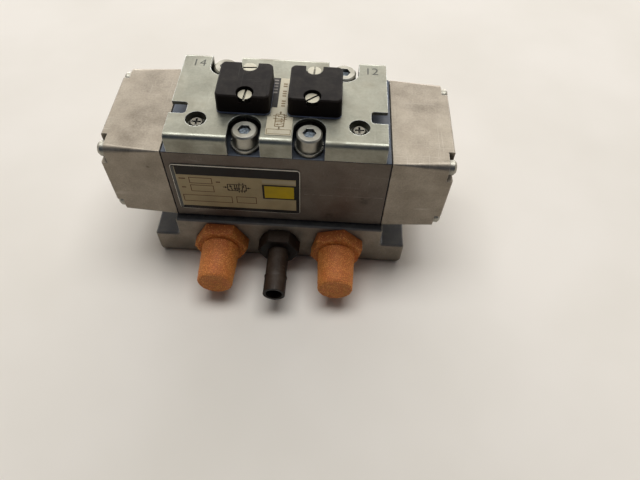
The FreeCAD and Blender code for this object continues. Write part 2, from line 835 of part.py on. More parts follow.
def makeEndCaps():
    body = newBody("right_end_cap", x=capStart, z=boreAxis)
    body.BaseFeature = makeCapBlank()
    halfDepth = size.bodyDepth / 2
    halfHeight = size.bodyHeight / 2

    notches = sketchOn(body, "YZ_Plane", out=size.capLength)
    spare = size.notchSize
    for sideY in leftAndRight:
        for sideZ in leftAndRight:
            nearY = (halfDepth - size.notchSize) * sideY
            nearZ = (halfHeight - size.notchSize) * sideZ
            farY = (halfDepth + spare) * sideY
            farZ = (halfHeight + spare) * sideZ
            corners = [(nearY, nearZ, size.notchRound), (farY, nearZ), (farY, farZ), (nearY, farZ)]
            outline(notches, corners if sideY * sideZ > 0 else corners[::-1])
    pocket(body, notches, size.notchDepth)
    holes = sketchOn(body, "YZ_Plane", out=size.capLength)
    for sideY in leftAndRight:
        for sideZ in leftAndRight:
            circle(holes, cornerY * sideY, cornerZ * sideZ, size.capHole)
    pocket(body, holes)

    chamber = sketchOn(body, "YZ_Plane")
    circle(chamber, zero, zero, chamberRadius)
    pocket(body, chamber, chamberDepth, alongNormal=True)
    seat = sketchOn(body, "YZ_Plane", out=chamberDepth)
    circle(seat, zero, zero, size.cushionOuter + size.cushionSide)
    circle(seat, zero, zero, size.cushionInner - size.cushionSide)
    pocket(body, seat, size.cushionSeat, alongNormal=True)

    pilotReach = chamberDepth - size.capPilotInset
    pilot = sketchOn(body, "YZ_Plane")
    circle(pilot, zero, -pilotDrop, size.pilotRadius)
    pocket(body, pilot, pilotReach, alongNormal=True)
    rise = sketchOn(body, "XY_Plane", out=-pilotDrop)
    circle(rise, pilotReach, zero, size.pilotRadius)
    pocket(body, rise, pilotDrop - size.cushionOuter, alongNormal=True)
    mirrorAcross(body, "left_end_cap")


def makeCapGaskets():
    body = newBody("right_cap_gasket", x=size.bodyWidth / 2, z=boreAxis)
    halfDepth = size.bodyDepth / 2 - size.gasketInset
    halfHeight = size.bodyHeight / 2 - size.gasketInset
    flat = sketchOn(body, "YZ_Plane")
    rectangle(flat, -halfDepth, halfDepth, -halfHeight, halfHeight)
    circle(flat, zero, zero, chamberRadius)
    circle(flat, zero, -pilotDrop, size.pilotRadius)
    for sideY in leftAndRight:
        for sideZ in leftAndRight:
            circle(flat, cornerY * sideY, cornerZ * sideZ, size.capHole)
    pad(body, flat, size.capGasketThickness)
    mirrorAcross(body, "left_cap_gasket")


def makeCushionRings():
    place = capStart + chamberDepth - size.cushionProud
    body = newBody("right_cushion_ring", x=place, z=boreAxis)
    ring = sketchOn(body, "YZ_Plane")
    circle(ring, zero, zero, size.cushionOuter)
    circle(ring, zero, zero, size.cushionInner)
    pad(body, ring, size.cushionProud + size.cushionSeat)
    mirrorAcross(body, "left_cushion_ring")


# A cross recess in a screw's head, about the sketch's origin
def crossRecess(sketch):
    arm = size.crossArm
    half = size.crossWidth / 2
    outline(sketch, [
        (arm, -half), (arm, half), (half, half), (half, arm), (-half, arm), (-half, half),
        (-arm, half), (-arm, -half), (-half, -half), (-half, -arm), (half, -arm), (half, -half),
    ])


# Four pan-head screws: one is drawn in a corner and mirrored twice
def makeCapScrews():
    seat = capStart + size.capLength - size.notchDepth
    body = newBody("right_cap_screws", x=seat, z=boreAxis)
    profile = sketchOn(body, "XZ_Plane", out=-cornerY, up=cornerZ)
    shank = size.capThread - size.threadFit
    crown = size.capScrewHead - size.capScrewCrown
    edge = size.capScrewHeadHeight - size.capScrewEdge
    outline(profile, [
        (-size.capScrewLength, zero), (size.capScrewHeadHeight, zero), (size.capScrewHeadHeight, crown),
        (edge, size.capScrewHead), (zero, size.capScrewHead), (zero, shank), (-size.capScrewLength, shank),
    ])
    screw = revolve(body, profile, "H_Axis")
    recess = sketchOn(body, "YZ_Plane", out=size.capScrewHeadHeight, right=cornerY, up=cornerZ)
    crossRecess(recess)
    cut = pocket(body, recess, size.crossDepth)
    doc.recompute()
    mirrored(body, [screw, cut], ["XZ_Plane", "XY_Plane"])
    mirrorAcross(body, "left_cap_screws")


# A folded channel with slots round the mounting screws, pressed cups for its own screws and a notch each side
def makeCoverPlate():
    body = newBody("cover_plate", z=bodyTop)
    half = size.bodyDepth / 2
    inner = half - size.plateThickness
    underside = size.plateTop - size.plateThickness
    innerBend = size.bendRound - size.plateThickness
    section = sketchOn(body, "YZ_Plane")
    outline(section, [
        (-half, zero), (-inner, zero), (-inner, underside, innerBend), (inner, underside, innerBend),
        (inner, zero), (half, zero), (half, size.plateTop, size.bendRound),
        (-half, size.plateTop, size.bendRound),
    ])
    pad(body, section, plateWidth, midplane=True)

    edge = plateWidth / 2
    inside = edge - size.sideNotchDepth
    notchFront = -(size.sideNotchRear + size.sideNotchLength)
    notches = sketchOn(body, "XY_Plane", out=size.plateTop)
    spare = size.sideNotchDepth
    outline(notches, [
        (inside, notchFront, size.sideNotchRound), (edge + spare, notchFront),
        (edge + spare, -size.sideNotchRear), (inside, -size.sideNotchRear, size.sideNotchRound),
    ])
    outline(notches, [
        (-inside, -size.sideNotchRear, size.sideNotchRound), (-(edge + spare), -size.sideNotchRear),
        (-(edge + spare), notchFront), (-inside, notchFront, size.sideNotchRound),
    ])
    pocket(body, notches, size.plateThickness)

    radius = size.screwSlotRadius
    frontArc = -(screwRow - size.screwSlotShift)
    rearArc = screwRow - size.screwSlotShift
    slots = sketchOn(body, "XY_Plane", out=size.plateTop)
    for side in leftAndRight:
        middle = size.frontScrewSpacing * (side / 2)
        outline(slots, [
            (middle - radius, -size.bodyDepth), (middle + radius, -size.bodyDepth), (middle + radius, frontArc),
            (middle - radius, frontArc, middle, frontArc),
        ])
        middle = size.rearScrewSpacing * (side / 2)
        outline(slots, [
            (middle + radius, size.bodyDepth), (middle - radius, size.bodyDepth), (middle - radius, rearArc),
            (middle + radius, rearArc, middle, rearArc),
        ])
    pocket(body, slots)

    openings = sketchOn(body, "XY_Plane", out=size.plateTop)
    for side in leftAndRight:
        circle(openings, cupPlace * side, -cupFront, size.cupRadius)
        for place in (-size.coverScrewFront, size.coverScrewRear):
            circle(openings, size.coverScrewSpacing * (side / 2), place, size.coverHole)
    pocket(body, openings, size.plateThickness)
    seat = size.plateTop - size.cupSeat
    wall = size.cupRadius + size.plateThickness / 2
    cup = sketchOn(body, "XZ_Plane", out=cupFront, right=cupPlace)
    outline(cup, [
        (size.cupHole, seat - size.plateThickness), (wall, seat - size.plateThickness), (wall, underside),
        (size.cupRadius, underside), (size.cupRadius, seat), (size.cupHole, seat),
    ])
    cupSolid = revolve(body, cup, "V_Axis")
    doc.recompute()
    mirrored(body, [cupSolid], ["YZ_Plane"])


def makeCoverPlateScrews():
    body = newBody("cover_plate_screws", z=cupSeat)
    profile = sketchOn(body, "XZ_Plane", out=cupFront, right=cupPlace)
    shank = size.smallThread - size.threadFit
    crown = size.plateScrewHead - size.plateScrewCrown
    edge = size.plateScrewHeadHeight - size.plateScrewEdge
    outline(profile, [
        (zero, -size.plateScrewLength), (shank, -size.plateScrewLength), (shank, zero),
        (size.plateScrewHead, zero), (size.plateScrewHead, edge), (crown, size.plateScrewHeadHeight),
        (zero, size.plateScrewHeadHeight),
    ])
    screw = revolve(body, profile, "V_Axis")
    recess = sketchOn(body, "XY_Plane", out=size.plateScrewHeadHeight, right=cupPlace, up=-cupFront)
    crossRecess(recess)
    cut = pocket(body, recess, size.crossDepth)
    doc.recompute()
    mirrored(body, [screw, cut], ["YZ_Plane"])


# Two socket-head screws with a spring washer each, in front and behind
def makeMountingScrews():
    for row, spacing, side in (("front", size.frontScrewSpacing, -1), ("rear", size.rearScrewSpacing, 1)):
        place = screwRow * side
        body = newBody(f"{row}_mounting_screws", z=bodyTop + size.washerThickness)
        profile = sketchOn(body, "XZ_Plane", out=-place, right=spacing / 2)
        shank = size.mountThread - size.threadFit
        shoulder = size.mountHead - size.mountHeadChamfer
        outline(profile, [
            (zero, -mountLength), (shank, -mountLength), (shank, zero), (size.mountHead, zero),
            (size.mountHead, size.mountHeadHeight - size.mountHeadChamfer), (shoulder, size.mountHeadHeight),
            (zero, size.mountHeadHeight),
        ])
        screw = revolve(body, profile, "V_Axis")
        socket = sketchOn(body, "XY_Plane", out=size.mountHeadHeight, right=spacing / 2, up=place)
        hexagon(socket, size.mountSocket)
        cut = pocket(body, socket, size.mountSocketDepth)
        doc.recompute()
        mirrored(body, [screw, cut], ["YZ_Plane"])

        washers = newBody(f"{row}_spring_washers", z=bodyTop)
        ring = sketchOn(washers, "XY_Plane", right=spacing / 2, up=place)
        circle(ring, zero, zero, size.washerRadius)
        circle(ring, zero, zero, size.washerBore)
        washer = pad(washers, ring, size.washerThickness)
        slit = sketchOn(washers, "XY_Plane", out=size.washerThickness, right=spacing / 2, up=place)
        rectangle(slit, zero, size.washerRadius * 2, size.washerSlit / -2, size.washerSlit / 2)
        cut = pocket(washers, slit, size.washerThickness)
        doc.recompute()
        mirrored(washers, [washer, cut], ["YZ_Plane"])


# The screws' recesses break through the front face and open to the rear
def makePilotCovers():
    body = newBody("right_pilot_cover", z=coverBottom)
    foot = sketchOn(body, "XY_Plane")
    rectangle(foot, size.coverInner, size.coverOuter, -size.coverFront, size.coverRear, size.coverRound)
    block = pad(body, foot, size.coverHeight)
    bind(block, "TaperAngle", -size.coverDraft)
    chamferEdges(body, edgesInPlane(body, "z", size.coverHeight), size.coverEdge)
    middle = size.coverScrewSpacing / 2
    recess = sketchOn(body, "XY_Plane", out=size.coverHeight)
    circle(recess, middle, -size.coverScrewFront, size.coverRecess)
    outline(recess, [
        (middle + size.coverRecess, size.coverRear * 2), (middle - size.coverRecess, size.coverRear * 2),
        (middle - size.coverRecess, size.coverScrewRear),
        (middle + size.coverRecess, size.coverScrewRear, middle, size.coverScrewRear),
    ])
    pocket(body, recess, size.coverRecessDepth)
    holes = sketchOn(body, "XY_Plane", out=size.coverHeight)
    for place in (-size.coverScrewFront, size.coverScrewRear):
        circle(holes, middle, place, size.coverHole)
    pocket(body, holes)
    mirrorAcross(body, "left_pilot_cover")


def makePilotGaskets():
    body = newBody("right_pilot_gasket", z=plateTop)
    flat = sketchOn(body, "XY_Plane")
    rectangle(flat, size.coverInner, size.coverOuter, -size.coverFront, size.coverRear, size.coverRound)
    for place in (-size.coverScrewFront, size.coverScrewRear):
        circle(flat, size.coverScrewSpacing / 2, place, size.coverHole)
    pad(body, flat, size.pilotGasketThickness)
    mirrorAcross(body, "left_pilot_gasket")


# Two slotted screws at each cover; no two slots stand the same way
def makePilotCoverScrews():
    turns = {
        "left": (size.leftFrontSlot, size.leftRearSlot),
        "right": (size.rightFrontSlot, size.rightRearSlot),
    }
    for side, word in zip(leftAndRight, turns):
        body = newBody(f"{word}_pilot_cover_screws", x=size.coverScrewSpacing * (side / 2), z=coverRecessSeat)
        for place, turn in zip((-size.coverScrewFront, size.coverScrewRear), turns[word]):
            profile = sketchOn(body, "XZ_Plane", out=-place)
            shank = size.smallThread - size.threadFit
            outline(profile, [
                (zero, -size.coverScrewLength), (shank, -size.coverScrewLength), (shank, zero),
                (size.coverScrewHead, zero), (size.coverScrewHead, size.coverScrewHeadHeight),
                (zero, size.coverScrewHeadHeight),
            ])
            revolve(body, profile, "V_Axis")
            slot = sketchOn(body, "XY_Plane", out=size.coverScrewHeadHeight, up=place, turn=turn)
            reach = size.coverScrewHead * 2
            rectangle(slot, -reach, reach, size.slotCut / -2, size.slotCut / 2)
            pocket(body, slot, size.slotCutDepth)


# The outer corners of a hexagon are turned off at its free face
def chamferHexagon(body, acrossFlats, thickness):
    corner = acrossFlats / math.sqrt(3)
    drop = (corner - acrossFlats / 2) * (math.tan(hexagonChamfer) * 2)
    edge = sketchOn(body, "XY_Plane")
    outer = corner + (corner - acrossFlats / 2)
    outline(edge, [(acrossFlats / 2, -thickness), (outer, drop - thickness), (outer, -thickness)])
    groove(body, edge, "V_Axis")


# Hexagon, thread and porous tube are one sintered piece, hollow up to its closed end
def makeSilencers():
    for side, word, turn in ((-1, "left", size.leftSilencerTurn), (1, "right", size.rightSilencerTurn)):
        body = newBody(
            f"{word}_silencer", x=size.exhaustSpacing * (side / 2), y=baseDepth / -2, z=portHeight,
        )
        flats = sketchOn(body, "XZ_Plane", turn=turn)
        hexagon(flats, size.silencerFlats)
        pad(body, flats, size.silencerHex)
        chamferHexagon(body, size.silencerFlats, size.silencerHex)
        profile = sketchOn(body, "XY_Plane")
        thread = size.plugThreadLength
        outline(profile, [
            (zero, -size.silencerLength), (size.silencerTip - size.silencerEdge, -size.silencerLength),
            (size.silencerTip, size.silencerEdge - size.silencerLength), (size.silencerRoot, -size.silencerHex),
            (size.silencerRoot, size.silencerHex / -2), (size.plugThread, size.silencerHex / -2),
            (size.plugThread, thread - size.plugChamfer), (size.plugThread - size.plugChamfer, thread),
            (zero, thread),
        ])
        revolve(body, profile, "V_Axis")
        hollow = sketchOn(body, "XZ_Plane", out=-thread)
        circle(hollow, zero, zero, size.silencerBore)
        pocket(body, hollow, thread + size.silencerLength - size.silencerEnd, alongNormal=True)


def makeHoseBarb():
    body = newBody("hose_barb", y=baseDepth / -2, z=portHeight)
    flats = sketchOn(body, "XZ_Plane")
    hexagon(flats, size.barbFlats)
    pad(body, flats, size.barbHex)
    chamferHexagon(body, size.barbFlats, size.barbHex)
    profile = sketchOn(body, "XY_Plane")
    thread = size.plugThreadLength
    ridge = size.barbRidgePlace - size.barbLength
    outline(profile, [
        (zero, -size.barbLength), (size.barbTip, -size.barbLength),
        (size.barbTip, ridge - size.barbRidgeLength), (size.barbRidge, ridge), (size.barbNeck, ridge),
        (size.barbNeck, size.barbHex / -2),
        (size.plugThread, size.barbHex / -2), (size.plugThread, thread - size.plugChamfer),
        (size.plugThread - size.plugChamfer, thread), (zero, thread),
    ])
    revolve(body, profile, "V_Axis")
    hollow = sketchOn(body, "XZ_Plane", out=-thread)
    circle(hollow, zero, zero, size.barbBore)
    pocket(body, hollow, alongNormal=True)


def makeNameplate():
    body = newBody("nameplate", y=size.bodyDepth / -2, z=gasketTop + size.nameplateBottom)
    flat = sketchOn(body, "XZ_Plane")
    left = size.nameplateInset - size.bodyWidth / 2
    rectangle(flat, left, left + size.nameplateLength, zero, size.nameplateHeight, size.nameplateRound)
    pad(body, flat, size.nameplateThickness)


# The label is wide in front of the pilot covers and runs back between them
def makePlateLabel():
    body = newBody("plate_label", z=plateTop)
    flat = sketchOn(body, "XY_Plane")
    narrow = size.coverInner - size.labelGap
    wideEnd = -(size.coverFront + size.labelGap)
    front = size.labelFrontInset - size.bodyDepth / 2
    outline(flat, [
        (-size.labelLeft, front), (size.labelRight, front), (size.labelRight, wideEnd),
        (narrow, wideEnd), (narrow, size.labelRear), (-narrow, size.labelRear), (-narrow, wideEnd),
        (-size.labelLeft, wideEnd),
    ])
    pad(body, flat, size.labelThickness)


makeSubBase()
makeBaseGasket()
makeValveBody()
makeSpool()
makePistons()
makePistonSeals()
makeSpoolSeals()
makeSealCages()
makeEndSleeves()
makeEndCaps()
makeCapGaskets()
makeCushionRings()
makeCapScrews()
makeCoverPlate()
makeCoverPlateScrews()
makeMountingScrews()
makePilotCovers()
makePilotGaskets()
makePilotCoverScrews()
makeSilencers()
makeHoseBarb()
makeNameplate()
makePlateLabel()
doc.recompute()

failed = [thing.Name for thing in doc.Objects if "Invalid" in thing.State or "Error" in thing.State]
failed += [node.Label for node in nodes if node.Shape.isNull() or not node.Shape.isValid()]
if failed:
    raise RuntimeError("these objects failed: " + ", ".join(failed))

os.makedirs("parts", exist_ok=True)
for node in nodes:
    node.Shape.exportStep(f"parts/{node.Label}.step")
    box = node.Shape.BoundBox
    print(f"{node.Label}: {len(node.Shape.Solids)} solids, {node.Shape.Volume:.1f} mm3, "
          f"X {box.XMin:.2f}..{box.XMax:.2f} Y {box.YMin:.2f}..{box.YMax:.2f} Z {box.ZMin:.2f}..{box.ZMax:.2f}")
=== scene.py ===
import json
import math

import bmesh
import bpy
from mathutils import Color, Matrix, Vector


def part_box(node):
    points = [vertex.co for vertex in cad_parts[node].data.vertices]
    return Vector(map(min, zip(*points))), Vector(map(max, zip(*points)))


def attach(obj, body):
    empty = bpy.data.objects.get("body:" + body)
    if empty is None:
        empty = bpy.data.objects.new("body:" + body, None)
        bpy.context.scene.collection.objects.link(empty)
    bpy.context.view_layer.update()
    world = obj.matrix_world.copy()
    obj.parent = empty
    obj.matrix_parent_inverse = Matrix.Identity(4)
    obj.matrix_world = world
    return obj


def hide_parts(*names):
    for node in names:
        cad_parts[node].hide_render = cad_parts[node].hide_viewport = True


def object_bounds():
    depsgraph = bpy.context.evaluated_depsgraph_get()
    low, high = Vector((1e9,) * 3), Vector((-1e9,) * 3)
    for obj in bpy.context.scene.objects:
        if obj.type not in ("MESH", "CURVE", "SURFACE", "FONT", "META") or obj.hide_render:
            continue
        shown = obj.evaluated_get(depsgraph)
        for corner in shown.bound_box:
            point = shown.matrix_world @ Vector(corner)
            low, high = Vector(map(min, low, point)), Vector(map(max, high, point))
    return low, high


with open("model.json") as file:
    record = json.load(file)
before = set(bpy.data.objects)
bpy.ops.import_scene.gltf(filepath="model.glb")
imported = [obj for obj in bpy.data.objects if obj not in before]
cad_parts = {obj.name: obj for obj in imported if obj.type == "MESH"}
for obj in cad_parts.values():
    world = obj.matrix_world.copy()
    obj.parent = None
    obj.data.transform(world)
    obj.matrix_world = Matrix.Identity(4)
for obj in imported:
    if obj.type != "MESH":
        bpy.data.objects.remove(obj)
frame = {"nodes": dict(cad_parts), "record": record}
cadLow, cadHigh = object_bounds()
nodes = frame["nodes"]
slotNames = {row["node"]: row["material_slot"] for row in frame["record"]["subparts"]}
mm = 0.001  # the sizes and places below are in millimetres, and Blender takes metres
quarterTurn = math.pi / 2
brightest = 255  # the top level of a screen
print("frame loaded with", len(nodes), "nodes")


# Objects and colours

def addObject(name, data):
    thing = bpy.data.objects.new(name, data)
    bpy.context.scene.collection.objects.link(thing)
    return thing


def plainMesh(thing):  # the mesh that an object's modifiers or text come out as
    bpy.context.view_layer.update()
    return bpy.data.meshes.new_from_object(thing.evaluated_get(bpy.context.evaluated_depsgraph_get()))


def display(*levels):  # a colour as a screen shows it, in levels of red, green and blue
    shown = Color([level / brightest for level in levels])
    return (*shown.from_srgb_to_scene_linear(), 1.0)


# Camera

cameraLook = {
    "place": (24.97, -215.22, 274.65),
    "yaw": -0.35, "pitch": -55.03, "roll": 2.91,  # in degrees
    "lens": 29.816,
    "near": 10.0, "far": 20000.0,
}


def makeCamera(look):
    yaw, pitch, roll = (math.radians(look[word]) for word in ("yaw", "pitch", "roll"))
    ahead = Vector((math.sin(yaw), math.cos(yaw), 0))
    forward = ahead * math.cos(pitch) + Vector((0, 0, math.sin(pitch)))
    level = Vector((math.cos(yaw), -math.sin(yaw), 0))
    upright = level.cross(forward)
    right = level * math.cos(roll) + upright * math.sin(roll)
    up = upright * math.cos(roll) - level * math.sin(roll)
    lens = bpy.data.cameras.new("camera")
    lens.lens = look["lens"]
    lens.clip_start = look["near"] * mm
    lens.clip_end = look["far"] * mm
    camera = addObject("camera", lens)
    camera.matrix_world = Matrix((right, up, -forward)).transposed().to_4x4()
    camera.location = Vector(look["place"]) * mm
    bpy.context.scene.camera = camera


makeCamera(cameraLook)
print("camera placed")


# Helpers for node trees, of materials and of geometry

def join(tree, socket, value):
    if isinstance(value, bpy.types.NodeSocket):
        tree.links.new(value, socket)
    else:
        socket.default_value = value


def put(tree, kind, inputs=None, **settings):
    node = tree.nodes.new(kind)
    for word, value in settings.items():
        setattr(node, word, value)
    for word, value in (inputs or {}).items():
        join(tree, node.inputs[word], value)
    return node


def calculate(tree, operation, first, second=0.0, clamp=False):
    node = put(tree, "ShaderNodeMath", {0: first, 1: second}, operation=operation, use_clamp=clamp)
    return node.outputs[0]


def times(tree, first, second, clamp=False):
    return calculate(tree, "MULTIPLY", first, second, clamp)


def plus(tree, first, second, clamp=False):
    return calculate(tree, "ADD", first, second, clamp)


def larger(tree, first, second):
    return calculate(tree, "MAXIMUM", first, second)


def calculateVector(tree, operation, first, second, answer="Vector"):
    return put(tree, "ShaderNodeVectorMath", {0: first, 1: second}, operation=operation).outputs[answer]


def split(tree, vector):
    return put(tree, "ShaderNodeSeparateXYZ", {0: vector}).outputs


def blendColour(tree, share, first, second, blend="MIX"):
    node = put(tree, "ShaderNodeMix", {0: share, 6: first, 7: second}, data_type="RGBA", blend_type=blend)
    return node.outputs[2]


def spread(tree, value, low, high, start=0.0, end=1.0):
    return put(tree, "ShaderNodeMapRange", {0: value, 1: low, 2: high, 3: start, 4: end}).outputs[0]


def noise(tree, place, scale, detail, rough):
    words = {"Vector": place, "Scale": scale, "Detail": detail, "Roughness": rough}
    return put(tree, "ShaderNodeTexNoise", words).outputs[0]


def patches(tree, place, grain, edges, least=0.0):  # grain: scale, detail and roughness of the noise
    return spread(tree, noise(tree, place, *grain), *edges, least)


def objectPlace(tree):
    return put(tree, "ShaderNodeTexCoord").outputs["Object"]


def surfaceNormal(tree):
    return put(tree, "ShaderNodeNewGeometry").outputs["Normal"]


def newGroup(name, kind, inputs, outputs):
    group = bpy.data.node_groups.new(name, kind)
    for words, way in ((inputs, "INPUT"), (outputs, "OUTPUT")):
        for word, socket in words.items():
            group.interface.new_socket(name=word, in_out=way, socket_type="NodeSocket" + socket)
    return group, group.nodes.new("NodeGroupInput").outputs, group.nodes.new("NodeGroupOutput").inputs


def useGroup(tree, group, **values):
    node = tree.nodes.new("ShaderNodeGroup")
    node.node_tree = group
    for word, value in values.items():
        join(tree, node.inputs[word], value)
    return node.outputs


# Worn edges and painted edge highlights: a lighter colour at sharp edges, broken up by patches

edgeWearAndHighlightLook = {
    "rays": 6,
    "agreement": (0.985, 0.80),  # of the flat and the rounded normal: where wear and painted highlight start and are full
    "patches": (260.0, 4.0, 0.6), "patchEdges": (0.38, 0.62),
    "leastWearAndHighlight": 0.25,
}


def makeEdgeWearAndHighlight(look):
    outputs = {"Mask": "Float", "Normal": "Vector"}
    group, given, result = newGroup("edgeWearAndHighlight", "ShaderNodeTree", {"Radius": "Float"}, outputs)
    rounded = put(group, "ShaderNodeBevel", {"Radius": given["Radius"]}, samples=look["rays"]).outputs[0]
    agreement = calculateVector(group, "DOT_PRODUCT", surfaceNormal(group), rounded, "Value")
    sharp = spread(group, agreement, *look["agreement"])
    worn = patches(group, objectPlace(group), look["patches"], look["patchEdges"], look["leastWearAndHighlight"])
    join(group, result["Mask"], times(group, sharp, worn))
    join(group, result["Normal"], rounded)
    return group


# Grain: fine noise with small pits for the height, fine and broad noise for the tone

grainLook = {
    "fine": (5.0, 0.65),  # detail and roughness of the noise
    "broad": (3.0, 0.55), "broadScale": 0.06,  # scales are shares of the finish's own grain scale
    "pitScale": 0.7, "pitEdges": (0.05, 0.32),
    "heightShares": (0.6, 0.4),  # of the fine noise and the pits
    "toneShares": (0.45, 0.55), "toneEdges": (0.34, 0.66),  # of the fine and the broad noise
}


def makeGrain(look):
    outputs = {"Height": "Float", "Tone": "Float"}
    group, given, result = newGroup("surfaceGrain", "ShaderNodeTree", {"Scale": "Float"}, outputs)
    place = objectPlace(group)
    fine = noise(group, place, given["Scale"], *look["fine"])
    broad = noise(group, place, times(group, given["Scale"], look["broadScale"]), *look["broad"])
    pitScale = times(group, given["Scale"], look["pitScale"])
    cells = put(group, "ShaderNodeTexVoronoi", {"Vector": place, "Scale": pitScale}).outputs["Distance"]
    pits = spread(group, cells, *look["pitEdges"])
    fineShare, pitShare = look["heightShares"]
    height = plus(group, times(group, fine, fineShare), times(group, pits, pitShare))
    join(group, result["Height"], height)
    fineShare, broadShare = look["toneShares"]
    tone = plus(group, times(group, fine, fineShare), times(group, broad, broadShare))
    join(group, result["Tone"], spread(group, tone, *look["toneEdges"]))
    return group


# Marks of handling: thin scratches in three directions, and smudges

handlingLook = {
    "runs": (  # turn in radians, then how close the noise lies along x, y and z
        (0.35, (35.0, 1900.0, 300.0)), (2.1, (1500.0, 28.0, 300.0)), (1.2, (26.0, 1300.0, 300.0)),
    ),
    "line": (1.0, 2.0, 0.5), "lineEdges": (0.66, 0.72),
    "area": (45.0, 2.0, 0.5), "areaEdges": (0.45, 0.6),
    "smudge": (70.0, 4.0, 0.6), "smudgeEdges": (0.42, 0.68),
}


def makeMarks(look):
    outputs = {"Scratches": "Float", "Smudges": "Float"}
    group, given, result = newGroup("handlingMarks", "ShaderNodeTree", {"Density": "Float"}, outputs)
    place = objectPlace(group)
    lines = None
    for turn, stretch in look["runs"]:
        words = {"Vector": place, "Rotation": (0.0, 0.0, turn), "Scale": stretch}
        turned = put(group, "ShaderNodeMapping", words).outputs[0]
        thin = patches(group, turned, look["line"], look["lineEdges"])
        lines = thin if lines is None else larger(group, lines, thin)
    area = patches(group, place, look["area"], look["areaEdges"])
    join(group, result["Scratches"], times(group, times(group, lines, area), given["Density"]))
    join(group, result["Smudges"], patches(group, place, look["smudge"], look["smudgeEdges"]))
    return group


# Dirt and painted shade in corners, dust that settles on top, and a mask of the faces that look up

dustAndShadeLook = {
    "rays": 6, "shadeEdges": (0.85, 0.35),
    "dirtAndShade": (420.0, 4.0, 0.6), "dirtEdges": (0.3, 0.6), "leastDirt": 0.4,
    "upwardEdges": (0.2, 0.9),
    "film": (150.0, 5.0, 0.7), "filmEdges": (0.42, 0.75),
}


def makeDustAndShade(look):
    inputs = {"Amount": "Float", "Reach": "Float"}
    outputs = {"Cavity": "Float", "Film": "Float", "Upward": "Float"}
    group, given, result = newGroup("dustAndShadeMasks", "ShaderNodeTree", inputs, outputs)
    words = {"Distance": given["Reach"]}
    # painted shade: ambient occlusion darkens corners, creases and gaps, broken up by dirt patches
    shade = put(group, "ShaderNodeAmbientOcclusion", words, samples=look["rays"]).outputs["AO"]
    place = objectPlace(group)
    dirtAndShade = patches(group, place, look["dirtAndShade"], look["dirtEdges"], look["leastDirt"])
    cavity = times(group, spread(group, shade, *look["shadeEdges"]), dirtAndShade)
    upward = spread(group, split(group, surfaceNormal(group))["Z"], *look["upwardEdges"])
    settled = times(group, upward, patches(group, place, look["film"], look["filmEdges"]))
    join(group, result["Upward"], upward)
    join(group, result["Cavity"], times(group, cavity, given["Amount"], clamp=True))
    join(group, result["Film"], times(group, settled, given["Amount"], clamp=True))
    return group


edgeWearAndHighlight = makeEdgeWearAndHighlight(edgeWearAndHighlightLook)
surfaceGrain = makeGrain(grainLook)
handlingMarks = makeMarks(handlingLook)
dustAndShadeMasks = makeDustAndShade(dustAndShadeLook)
print("surface effects built")


# Finishes: one builder for all of them, and each gives only what differs from the plain one
# Grain scales are per metre; radii, depths and reaches are in millimetres

plainFinish = {
    "dark": display(90, 86, 80), "light": display(130, 124, 115), "metallic": 0.0, "specular": 0.5,
    "roughness": (0.45, 0.65), "grainScale": 1600.0, "grainDepth": 0.03,
    "edgeRadius": 0.35, "edgeColour": display(190, 186, 176), "edgeShare": 0.5,
    "scratchColour": display(200, 196, 186), "scratches": 0.2,
    "smudgeColour": display(70, 64, 58), "smudges": 0.15, "smudgeRoughness": 0.5,
    # dirt and painted shade: a dark brown in corners and gaps, out to the reach
    "dirtAndShadeColour": display(38, 33, 29), "dirtAndShade": 0.8, "dirtAndShadeReach": 3.0, "dirtRoughness": 0.3,
    "dustColour": display(176, 165, 148), "dust": 0.15,
    # painted light and shade: faces that look up take a colour of their own, for how the light falls on
    # them
    "paintedTopColour": display(80, 92, 104), "paintedTopShare": 0.0,
}


def makeFinish(name, look):
    values = {**plainFinish, **look}
    material = bpy.data.materials.new(name)
    material.use_nodes = True
    material.diffuse_color = values["light"]
    tree = material.node_tree
    shader = tree.nodes["Principled BSDF"].inputs
    shader["Metallic"].default_value = values["metallic"]
    shader["Specular IOR Level"].default_value = values["specular"]
    grain = useGroup(tree, surfaceGrain, Scale=values["grainScale"])
    marks = useGroup(tree, handlingMarks, Density=values["scratches"])
    edge = useGroup(tree, edgeWearAndHighlight, Radius=values["edgeRadius"] * mm)
    dust = useGroup(tree, dustAndShadeMasks, Amount=values["dirtAndShade"], Reach=values["dirtAndShadeReach"] * mm)
    smudge = times(tree, marks["Smudges"], values["smudges"])
    colour = blendColour(tree, grain["Tone"], values["dark"], values["light"])
    layers = (
        (smudge, "smudgeColour"),
        (marks["Scratches"], "scratchColour"),
        # painted highlight, partly real wear: a lighter colour at sharp edges
        (times(tree, edge["Mask"], values["edgeShare"]), "edgeColour"),
        # painted light and shade on the faces that look up
        (times(tree, dust["Upward"], values["paintedTopShare"]), "paintedTopColour"),
        (times(tree, dust["Film"], values["dust"]), "dustColour"),
        # dirt and painted shade: darker in corners and gaps
        (dust["Cavity"], "dirtAndShadeColour"),
    )
    for share, word in layers:
        colour = blendColour(tree, share, colour, values[word])
    join(tree, shader["Base Color"], colour)
    rough = spread(tree, grain["Tone"], 0.0, 1.0, *values["roughness"])
    rough = plus(tree, rough, times(tree, smudge, values["smudgeRoughness"]))
    rough = plus(tree, rough, times(tree, dust["Cavity"], values["dirtRoughness"]), clamp=True)
    join(tree, shader["Roughness"], rough)
    words = {"Height": grain["Height"], "Normal": edge["Normal"], "Distance": values["grainDepth"] * mm}
    join(tree, shader["Normal"], put(tree, "ShaderNodeBump", words).outputs[0])
    return material


